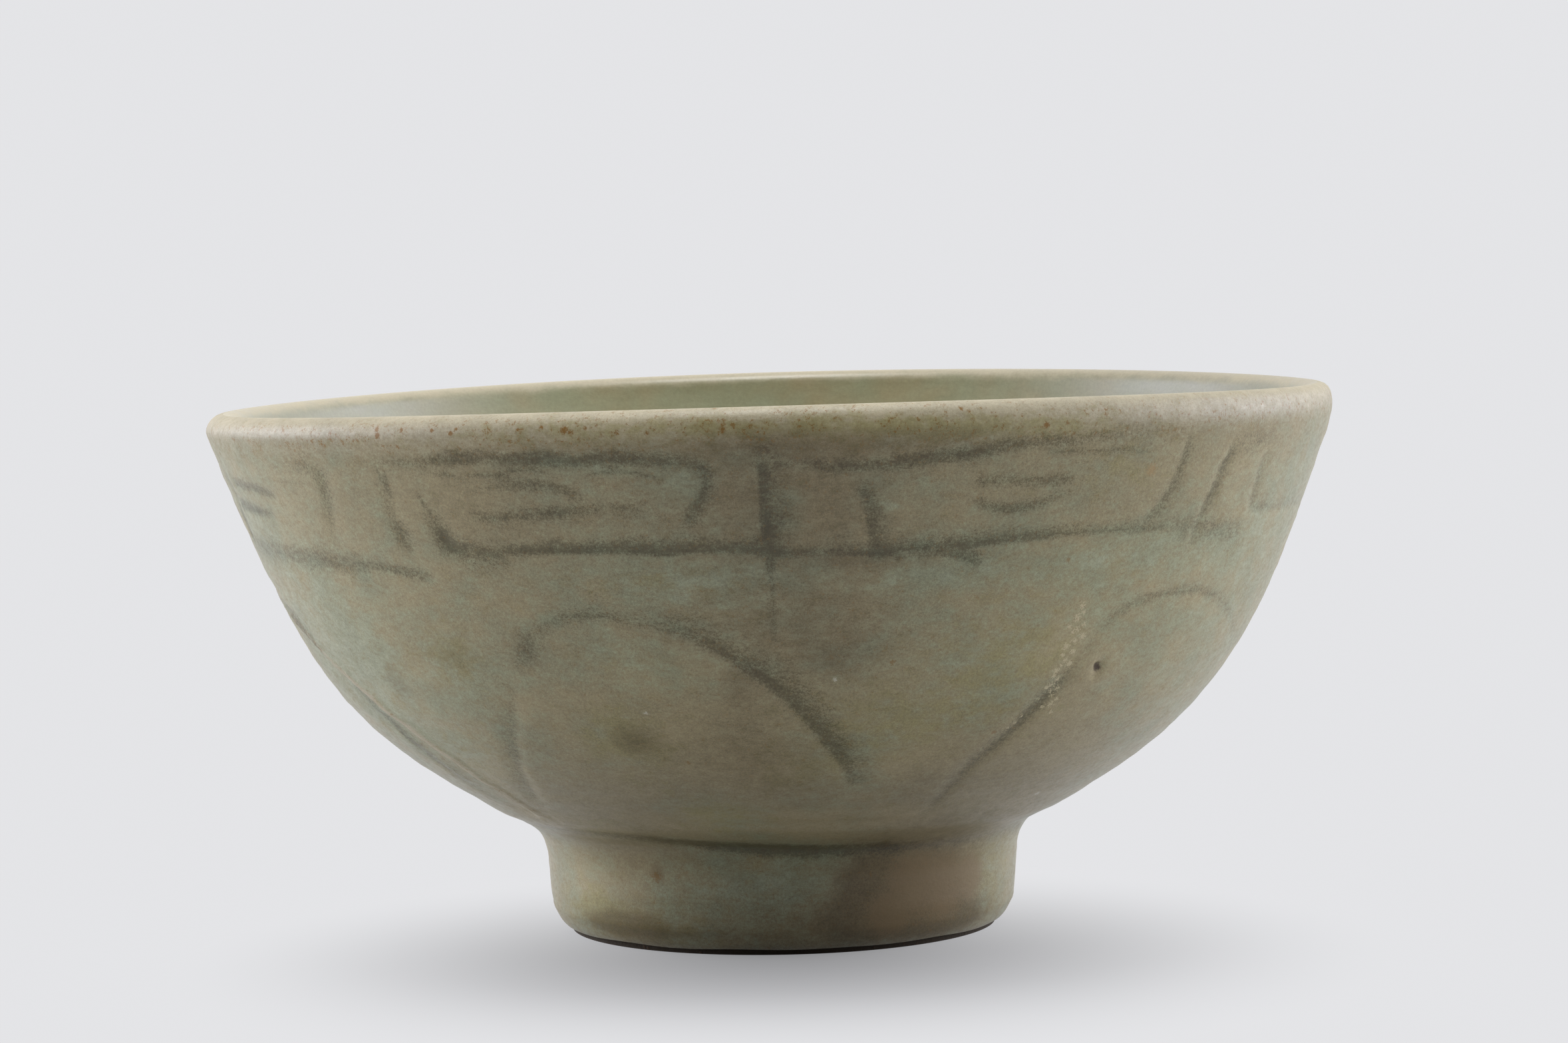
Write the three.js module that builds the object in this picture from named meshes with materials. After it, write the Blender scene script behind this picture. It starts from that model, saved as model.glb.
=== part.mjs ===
// A thrown stoneware bowl on a turned foot ring, under three separate coats of celadon glaze.
// Millimetres, +Z up. The origin is the centre of the foot ring's standing edge, and the side seen from the
// front is the one towards -Y.
//
// The body is one piece of clay. The glaze was put on in three goes: poured round the inside, dipped over the
// outside, and dabbed in the middle of the base. Each coat is a solid of its own that lies on the clay face
// to face, so a coat and the clay are built from the same points.
import * as THREE from "three";

// Overall size, over the glaze
const RIM_RADIUS = 75;
const LIP_HEIGHT = 71.4;
const LIP_THICKNESS = 4.6;
const LOW_WALL_THICKNESS = 6.4;

// Outer wall: one sweep from above the foot to the lip. Slopes are in degrees from upright, and a pull is how
// far the sweep is drawn along its slope at that end.
const WALL_FOOT_SLOPE = 61.5;
const WALL_FOOT_PULL = 25;
const WALL_LIP_SLOPE = 19;
const WALL_LIP_PULL = 34.8;

// Well: the flat middle of the inside, and how far it lies below the low end of the inner wall
const WELL_RADIUS = 9;
const WELL_DROP = 3.7;

// Foot ring, over the glaze. The neck is the hollow corner where the foot's side meets the wall.
const FOOT_RADIUS = 31.2;
const FOOT_FLARE = 0.7;
const NECK_HEIGHT = 13.4;
const NECK_FILLET = 3.4;
const NECK_TO_WALL = 4.3;
const BEVEL_HEIGHT = 5;
const BEVEL_WIDTH = 2.8;
const BEVEL_CORNER_INSET = 0.6;
const BEVEL_CORNER_HEIGHT = 1.6;

// Standing edge, and the recess inside the foot ring
const EDGE_WIDTH = 4.8;
const RECESS_TAPER = 1.2;
const RECESS_HEIGHT = 8;
const RECESS_FILLET = 1.8;
const RECESS_DOME = 0.6;

// Glaze
const OUTER_GLAZE = 0.8;
const INNER_GLAZE = 0.7;
const BASE_GLAZE = 0.5;
const BASE_GLAZE_RADIUS = 13;
const BARE_EDGE = 0.7;

// The rim went out of true in the kiln. These are measured at the lip and fade out down the wall: a tilt to
// the right, a tilt to the front, a saddle, and how far the wall leans to the left.
const RIM_TILT_RIGHT = 0.65;
const RIM_TILT_FRONT = 0.4;
const RIM_SADDLE = -0.6;
const RIM_LEAN_LEFT = 0.4;

// Fineness of the round surfaces
const TURN_STEPS = 48;
const WALL_STEPS = 10;
const WELL_STEPS = 4;
const LIP_STEPS = 4;
const CORNER_STEPS = 3;

// Points are Vector2s: x is the radius from the bowl's axis and y the height.
const point = (radius, height) => new THREE.Vector2(radius, height);

// The spot so far from a start along a direction
const along = (start, direction, distance) => start.clone().addScaledVector(direction, distance);

// The lean of a slope, in radians from upright
const lean = (slope) => THREE.MathUtils.degToRad(slope);

// A unit step down and inwards along a line of some slope
const downwards = (slope) => point(-Math.sin(lean(slope)), -Math.cos(lean(slope)));

// A rounded corner from one spot to another, drawn towards the sharp corner between them
function rounded(from, corner, to) {
  return new THREE.QuadraticBezierCurve(from, corner, to).getPoints(CORNER_STEPS);
}

const lipCentre = point(RIM_RADIUS - LIP_THICKNESS / 2, LIP_HEIGHT - LIP_THICKNESS / 2);
const lipCrest = point(lipCentre.x, LIP_HEIGHT);

// The lip's round, from its crest to a direction in degrees from outwards, without the crest itself
function lipRound(endDegrees) {
  const crestDegrees = 90;
  return Array.from({ length: LIP_STEPS }, (_, step) => {
    const degrees = THREE.MathUtils.lerp(crestDegrees, endDegrees, (step + 1) / LIP_STEPS);
    const angle = THREE.MathUtils.degToRad(degrees);
    return along(lipCentre, point(Math.cos(angle), Math.sin(angle)), LIP_THICKNESS / 2);
  });
}

const outerLip = lipRound(-WALL_LIP_SLOPE);
const innerLip = lipRound(180 - WALL_LIP_SLOPE);

const neck = point(FOOT_RADIUS + FOOT_FLARE, NECK_HEIGHT);
const bevelTop = point(FOOT_RADIUS, BEVEL_HEIGHT);
const edgeOuter = point(FOOT_RADIUS - BEVEL_WIDTH, 0);
const edgeInner = point(edgeOuter.x - EDGE_WIDTH, 0);

const wallTop = outerLip.at(-1);
const wallStart = along(neck, downwards(WALL_FOOT_SLOPE), -NECK_TO_WALL);
const outerWall = new THREE.CubicBezierCurve(
  wallTop,
  along(wallTop, downwards(WALL_LIP_SLOPE), WALL_LIP_PULL),
  along(wallStart, downwards(WALL_FOOT_SLOPE), -WALL_FOOT_PULL),
  wallStart,
);

// The finished outside, from the lip's crest down to the end of the glaze above the standing edge
function outsideOutline() {
  const neckAbove = along(neck, downwards(WALL_FOOT_SLOPE), -NECK_FILLET);
  const neckBelow = along(neck, bevelTop.clone().sub(neck).normalize(), NECK_FILLET);
  const bevelCorner = point(FOOT_RADIUS - BEVEL_CORNER_INSET, BEVEL_CORNER_HEIGHT);
  return [
    lipCrest,
    ...outerLip,
    ...outerWall.getPoints(WALL_STEPS).slice(1),
    ...rounded(neckAbove, neck, neckBelow),
    ...rounded(bevelTop, bevelCorner, point(edgeOuter.x + BARE_EDGE, BARE_EDGE)),
  ];
}

// The finished inside, from the lip's crest down to the middle of the well. Its wall is the outer wall moved
// inwards by a thickness that grows towards the foot.
function insideOutline() {
  const wall = Array.from({ length: WALL_STEPS + 1 }, (_, step) => {
    const share = step / WALL_STEPS;
    const down = outerWall.getTangent(share);
    const thickness = THREE.MathUtils.lerp(LIP_THICKNESS, LOW_WALL_THICKNESS, share);
    return along(outerWall.getPoint(share), point(down.y, -down.x), thickness);
  });
  const wallEnd = wall.at(-1);
  const wellHeight = wallEnd.y - WELL_DROP;
  const wellCorner = point(wallEnd.x - WELL_DROP * Math.tan(lean(WALL_FOOT_SLOPE)), wellHeight);
  const wellCurve = new THREE.QuadraticBezierCurve(wallEnd, wellCorner, point(WELL_RADIUS, wellHeight));
  return [
    lipCrest,
    ...innerLip,
    ...wall.slice(1),
    ...wellCurve.getPoints(WELL_STEPS).slice(1),
    point(0, wellHeight),
  ];
}

// The underside, from the standing edge's outer corner over the foot ring's inner side to the middle of the
// base. Its last two points bound the patch of glaze in the middle.
function undersideOutline() {
  const corner = point(edgeInner.x - RECESS_TAPER, RECESS_HEIGHT);
  const filletStart = along(corner, edgeInner.clone().sub(corner).normalize(), RECESS_FILLET);
  const filletEnd = point(corner.x - RECESS_FILLET, RECESS_HEIGHT);
  const patchHeight = RECESS_HEIGHT + RECESS_DOME * (1 - BASE_GLAZE_RADIUS / filletEnd.x);
  return [
    edgeOuter,
    edgeInner,
    ...rounded(filletStart, corner, filletEnd),
    point(BASE_GLAZE_RADIUS, patchHeight),
    point(0, RECESS_HEIGHT + RECESS_DOME),
  ];
}

// The clay face under a coat: each point of the finished outline moved square to it by the coat's thickness.
// side is 1 where the clay is on the left of the way the outline runs, and -1 where it is on the right.
function underCoat(outline, thickness, side) {
  return outline.map((here, i) => {
    const before = outline[Math.max(i - 1, 0)];
    const after = outline[Math.min(i + 1, outline.length - 1)];
    const way = after.clone().sub(before).normalize();
    const moved = along(here, point(-way.y, way.x), side * thickness);
    if (here.x === 0) moved.x = 0;
    return moved;
  });
}

const outside = outsideOutline();
const inside = insideOutline();
const underside = undersideOutline();

// At the crest both coats stop on the same spot of clay.
const clayOutside = underCoat(outside, OUTER_GLAZE, -1);
const clayInside = [clayOutside[0], ...underCoat(inside, INNER_GLAZE, 1).slice(1)];

const [patchEdge, patchMiddle] = underside.slice(-2);
const patchFaceEdge = point(patchEdge.x - BASE_GLAZE, patchEdge.y - BASE_GLAZE);
const patchFaceMiddle = point(0, patchMiddle.y - BASE_GLAZE);

// Where the kiln moved a point of the true bowl: most at the lip, and nowhere at the well and below it
function outOfTrue(x, y, z) {
  const wellHeight = inside.at(-1).y;
  const fade = Math.max(0, (z - wellHeight) / (LIP_HEIGHT - wellHeight)) ** 2;
  const turn = Math.atan2(y, x);
  const tilt = RIM_TILT_RIGHT * Math.cos(turn) - RIM_TILT_FRONT * Math.sin(turn);
  const rise = tilt + RIM_SADDLE * Math.cos(2 * turn);
  return [x - fade * RIM_LEAN_LEFT, y, z + fade * rise];
}

// A lathe cuts each of its four-sided patches in two along one diagonal, and which one depends on the way
// its outline runs. Where a coat lies on the clay their outlines run opposite ways, so the patches of every
// stretch that runs downwards are cut along the other diagonal here, and the two faces match.
function cutAlike(geometry, outline) {
  const corners = geometry.getIndex();
  const stretches = outline.length - 1;
  for (let patch = 0; patch * 6 < corners.count; patch++) {
    const stretch = patch % stretches;
    if (outline[stretch + 1].y < outline[stretch].y) {
      const [a, b, d, c] = [0, 1, 2, 3].map((place) => corners.getX(patch * 6 + place));
      [a, b, c, a, c, d].forEach((corner, place) => corners.setX(patch * 6 + place, corner));
    }
  }
}

// Turns an outline about the bowl's axis, stands it up and puts the rim out of true. The faces point outwards
// when the outline runs up the outer side of what it bounds and down the inner side.
function turned(name, outline, material) {
  const geometry = new THREE.LatheGeometry(outline, TURN_STEPS);
  cutAlike(geometry, outline);
  geometry.rotateX(Math.PI / 2);
  const places = geometry.getAttribute("position");
  for (let i = 0; i < places.count; i++) {
    places.setXYZ(i, ...outOfTrue(places.getX(i), places.getY(i), places.getZ(i)));
  }
  geometry.computeVertexNormals();
  const mesh = new THREE.Mesh(geometry, material);
  mesh.name = name;
  return mesh;
}

const stoneware = new THREE.MeshStandardMaterial({ color: 0xa8714a, roughness: 0.85, metalness: 0 });
const celadon = new THREE.MeshStandardMaterial({ color: 0x8f8b73, roughness: 0.4, metalness: 0 });

const clayOutline = [...underside.toReversed(), ...clayOutside.slice(1).toReversed(), ...clayInside];
const outerOutline = [outside[0], ...clayOutside, ...outside.toReversed()];
const innerOutline = [...clayInside.toReversed(), ...inside];
const baseOutline = [patchFaceMiddle, patchFaceEdge, patchEdge, patchMiddle];

const bowl = new THREE.Group();
bowl.add(
  turned("clay_body", clayOutline, stoneware),
  turned("outer_glaze", outerOutline, celadon),
  turned("inner_glaze", innerOutline, celadon),
  turned("base_glaze", baseOutline, celadon),
);

export default bowl;
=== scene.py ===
import math

import bpy
import numpy as np
from mathutils import Matrix, Vector


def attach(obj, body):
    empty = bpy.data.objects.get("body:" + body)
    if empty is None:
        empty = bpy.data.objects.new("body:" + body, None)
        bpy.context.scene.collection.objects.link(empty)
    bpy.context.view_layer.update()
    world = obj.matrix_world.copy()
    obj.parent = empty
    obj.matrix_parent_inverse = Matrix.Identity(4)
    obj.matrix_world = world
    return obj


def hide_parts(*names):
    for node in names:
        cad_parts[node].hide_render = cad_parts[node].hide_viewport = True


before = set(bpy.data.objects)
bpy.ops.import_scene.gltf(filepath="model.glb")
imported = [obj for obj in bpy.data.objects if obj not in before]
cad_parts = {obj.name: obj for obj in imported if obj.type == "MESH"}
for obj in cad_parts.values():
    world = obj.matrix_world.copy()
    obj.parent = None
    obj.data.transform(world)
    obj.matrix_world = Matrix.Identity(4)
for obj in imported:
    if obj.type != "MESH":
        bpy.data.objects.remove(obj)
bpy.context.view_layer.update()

METRES = 0.001

# The outline of the bowl, over the glaze
RIM_RADIUS = 75.0
LIP_HEIGHT = 71.4
LIP_THICKNESS = 4.6
LOW_WALL_THICKNESS = 6.4
WALL_FOOT_SLOPE = 61.5
WALL_FOOT_PULL = 25.0
WALL_LIP_SLOPE = 19.0
WALL_LIP_PULL = 34.8
WELL_RADIUS = 9.0
WELL_DROP = 3.7
FOOT_RADIUS = 31.2
FOOT_FLARE = 0.7
NECK_HEIGHT = 13.4
NECK_FILLET = 3.4
NECK_TO_WALL = 4.3
BEVEL_HEIGHT = 5.0
BEVEL_WIDTH = 2.8
BEVEL_CORNER_INSET = 0.6
BEVEL_CORNER_HEIGHT = 1.6
EDGE_WIDTH = 4.8
RECESS_TAPER = 1.2
RECESS_HEIGHT = 8.0
RECESS_FILLET = 1.8
RECESS_DOME = 0.6
OUTER_GLAZE = 0.8
INNER_GLAZE = 0.7
BASE_GLAZE = 0.5
BASE_GLAZE_RADIUS = 13.0
BARE_EDGE = 0.7

# How far the kiln moved the lip: a tilt to the right, a tilt to the front, a saddle, and a lean to the left
RIM_TILT_RIGHT = 0.65
RIM_TILT_FRONT = 0.4
RIM_SADDLE = 0.6
RIM_LEAN_LEFT = 0.4

# The picture
SENSOR = 36.0
LENS = 105.0
CAMERA_PLACE = (1.10, -611.47, 94.11)
CAMERA_PITCH = 3.757
CAMERA_ROLL = 1.178
BACKDROP = (0.775, 0.778, 0.797)

# How finely the coats are drawn: turns in degrees, rows in millimetres
FRONT_REACH = 80
FRONT_STEP = 0.42
BACK_STEP = 0.72
EVEN_TURNS = 360


# Curves and outlines

def bezier(points, count):
    """Points along a Bezier curve."""
    share = np.linspace(0, 1, count)[:, None]
    layer = [np.ones((count, 1)) * np.asarray(point, float) for point in points]
    while len(layer) > 1:
        layer = [a + (b - a) * share for a, b in zip(layer, layer[1:])]
    return layer[0]


def downwards(slope):
    """A unit step down and inwards along a line of some slope, in degrees from upright."""
    lean = math.radians(slope)
    return np.array([-math.sin(lean), -math.cos(lean)])


def unit(vector):
    return vector / np.linalg.norm(vector)


LIP_CENTRE = np.array([RIM_RADIUS - LIP_THICKNESS / 2, LIP_HEIGHT - LIP_THICKNESS / 2])
NECK = np.array([FOOT_RADIUS + FOOT_FLARE, NECK_HEIGHT])
BEVEL_TOP = np.array([FOOT_RADIUS, BEVEL_HEIGHT])
EDGE_OUTER = np.array([FOOT_RADIUS - BEVEL_WIDTH, 0.0])
EDGE_INNER = EDGE_OUTER - [EDGE_WIDTH, 0.0]
WALL_POINTS = 240
CORNER_POINTS = 40


def lip_round(end):
    """The lip's round from its crest to a direction in degrees from outwards."""
    angle = np.radians(np.linspace(90, end, CORNER_POINTS))
    return LIP_CENTRE + LIP_THICKNESS / 2 * np.stack([np.cos(angle), np.sin(angle)], 1)


def outer_wall():
    top = lip_round(-WALL_LIP_SLOPE)[-1]
    foot = NECK - NECK_TO_WALL * downwards(WALL_FOOT_SLOPE)
    top_pull = top + WALL_LIP_PULL * downwards(WALL_LIP_SLOPE)
    foot_pull = foot - WALL_FOOT_PULL * downwards(WALL_FOOT_SLOPE)
    return bezier([top, top_pull, foot_pull, foot], WALL_POINTS)


def outside_outline():
    """The finished outside, from the lip's crest down to the end of the glaze."""
    neck_above = NECK - NECK_FILLET * downwards(WALL_FOOT_SLOPE)
    neck_below = NECK + NECK_FILLET * unit(BEVEL_TOP - NECK)
    bevel_corner = [FOOT_RADIUS - BEVEL_CORNER_INSET, BEVEL_CORNER_HEIGHT]
    neck = bezier([neck_above, NECK, neck_below], CORNER_POINTS)
    bevel = bezier([BEVEL_TOP, bevel_corner, EDGE_OUTER + BARE_EDGE], CORNER_POINTS)
    return np.concatenate([lip_round(-WALL_LIP_SLOPE), outer_wall()[1:], neck, bevel])


def inside_outline():
    """The finished inside, from the lip's crest down to the middle of the well."""
    wall = outer_wall()
    down = np.gradient(wall, axis=0)
    down /= np.linalg.norm(down, axis=1)[:, None]
    thickness = np.linspace(LIP_THICKNESS, LOW_WALL_THICKNESS, len(wall))[:, None]
    wall = wall + thickness * np.stack([down[:, 1], -down[:, 0]], 1)
    end = wall[-1]
    well_height = end[1] - WELL_DROP
    well_corner = [end[0] - WELL_DROP * math.tan(math.radians(WALL_FOOT_SLOPE)), well_height]
    well = bezier([end, well_corner, [WELL_RADIUS, well_height]], CORNER_POINTS)
    return np.concatenate([lip_round(180 - WALL_LIP_SLOPE), wall[1:], well[1:], [[0, well_height]]])


def underside_outline():
    """The underside, from the glaze's end over the standing edge to the middle of the base."""
    corner = np.array([EDGE_INNER[0] - RECESS_TAPER, RECESS_HEIGHT])
    fillet_start = corner + RECESS_FILLET * unit(EDGE_INNER - corner)
    fillet_end = corner - [RECESS_FILLET, 0]
    fillet = bezier([fillet_start, corner, fillet_end], CORNER_POINTS)
    return np.concatenate([[EDGE_OUTER, EDGE_INNER], fillet, [[0, RECESS_HEIGHT + RECESS_DOME]]])


class Outline:
    """An outline that can be read at any distance along it."""

    def __init__(self, points, solid_on_right):
        step = np.linalg.norm(np.diff(points, axis=0), axis=1)
        self.points = points[np.concatenate([[True], step > 1e-6])]
        step = np.linalg.norm(np.diff(self.points, axis=0), axis=1)
        self.distance = np.concatenate([[0], np.cumsum(step)])
        self.length = self.distance[-1]
        self.side = 1 if solid_on_right else -1

    def at(self, distance):
        radius = np.interp(distance, self.distance, self.points[:, 0])
        height = np.interp(distance, self.distance, self.points[:, 1])
        return np.stack([radius, height], -1)

    def square(self, distance):
        """A unit step away from the solid."""
        way = self.at(distance + 0.05) - self.at(distance - 0.05)
        way /= np.linalg.norm(way, axis=-1)[..., None]
        return self.side * np.stack([-way[..., 1], way[..., 0]], -1)

    def down_to(self, height):
        """How far along an outline that runs down a height lies."""
        return np.interp(-np.asarray(height, float), -self.points[:, 1], self.distance)

    def rows(self, *stretches):
        """Distances for rows of points. A stretch is the height that it ends at and the rows' spacing."""
        found, start = [0.0], 0.0
        for height, spacing in stretches:
            end = self.length if height is None else float(self.down_to(height))
            count = max(1, round((end - start) / spacing))
            found.extend(np.linspace(start, end, count + 1)[1:])
            start = end
        return np.array(found)


outside = Outline(outside_outline(), solid_on_right=True)
inside = Outline(inside_outline(), solid_on_right=False)
underside = Outline(underside_outline(), solid_on_right=True)
WELL_HEIGHT = inside.points[-1, 1]


def smooth(low, high, value):
    """0 below low, 1 above high, and an even curve between."""
    share = np.clip((value - low) / (high - low), 0, 1)
    return share * share * (3 - 2 * share)


def bump(middle, reach, value):
    """1 in the middle and a soft fall to both sides."""
    return np.exp(-(((value - middle) / reach) ** 2))


def apart(turn, middle):
    """How far a turn is from another, the short way round."""
    return (turn - middle + 180) % 360 - 180


def turned(turn, point):
    """The place, in millimetres, of an outline's point that is turned about the bowl's axis. The kiln moved
    the lip most, and the well and everything below it not at all."""
    radius, height = np.maximum(point[..., 0], 0), point[..., 1]
    angle = np.radians(turn)
    fade = np.maximum(0, (height - WELL_HEIGHT) / (LIP_HEIGHT - WELL_HEIGHT)) ** 2
    tilt = RIM_TILT_RIGHT * np.sin(angle) + RIM_TILT_FRONT * np.cos(angle)
    rise = tilt + RIM_SADDLE * np.cos(2 * angle)
    across = radius * np.sin(angle) - fade * RIM_LEAN_LEFT
    return np.stack([across, -radius * np.cos(angle), height + fade * rise], -1)


def spot(turn, height):
    """A place on the outside of the bowl, in millimetres."""
    return turned(turn, outside.at(outside.down_to(height)))


class Waves:
    """Gentle waves over the turn and the distance along an outline, which meet after a whole turn."""

    def __init__(self, seed, count, most_turns, shortest):
        draw = np.random.default_rng(seed)
        self.turns = draw.integers(-most_turns, most_turns + 1, count)
        self.pace = 2 * math.pi / (shortest * draw.uniform(1, 3, count))
        self.phase = draw.uniform(0, 2 * math.pi, count)

    def __call__(self, turn, distance):
        angle = np.radians(turn)
        total = 0
        for turns, pace, phase in zip(self.turns, self.pace, self.phase):
            total = total + np.sin(turns * angle + pace * distance + phase)
        return total / math.sqrt(len(self.turns))


HAND = Waves(17, 12, 70, 5)


# The cut decoration
#
# A style says how deep a stroke is, how wide the slope is that the knife left on one side, how high the
# ridge on the other side stands, and how dark the glaze in it is: core and back are how far the dark reaches
# on the sloping side and on the other, and wobble is how much a hand's unsteadiness shows. The slope is on
# the left of the way that the points run, as seen from outside, and 0 is for none. A stroke is a style and
# its points, and a point is a turn, a height and how hard the knife was pressed there.
FRET = dict(depth=0.22, slope=3.0, ridge=0.05, core=2.1, back=0.8, dark=0.88)
DIVIDER = dict(depth=0.30, slope=3.4, ridge=0.05, core=2.6, back=0.45, dark=0.98)
LOW_LINE = dict(depth=0.22, slope=2.4, ridge=0.05, core=1.9, back=0.5, dark=0.98)
TOP_LINE = dict(depth=0.14, slope=0, ridge=0, core=1.05, back=1.05, dark=0.78)
DAB = dict(depth=0.12, slope=0, ridge=0, core=0.95, back=0.95, dark=0.75)
HAIR = dict(depth=0.03, slope=0, ridge=0, core=0.42, back=0.42, dark=0.60)
SMUDGE = dict(depth=0.05, slope=0, ridge=0, core=1.9, back=1.9, dark=0.55)
PETAL = dict(depth=0.24, slope=3.0, ridge=0.05, core=2.2, back=0.9, dark=0.75)
BROAD_PETAL = dict(depth=0.26, slope=4.0, ridge=0.05, core=3.8, back=0.9, dark=0.80)
RIDGED_PETAL = dict(depth=0.45, slope=6.5, ridge=0.9, core=4.0, back=0.9, dark=0.18)
NECK_LINE = dict(depth=0.22, slope=0, ridge=0, core=1.5, back=1.5, dark=1.0, wobble=0.06)

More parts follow.
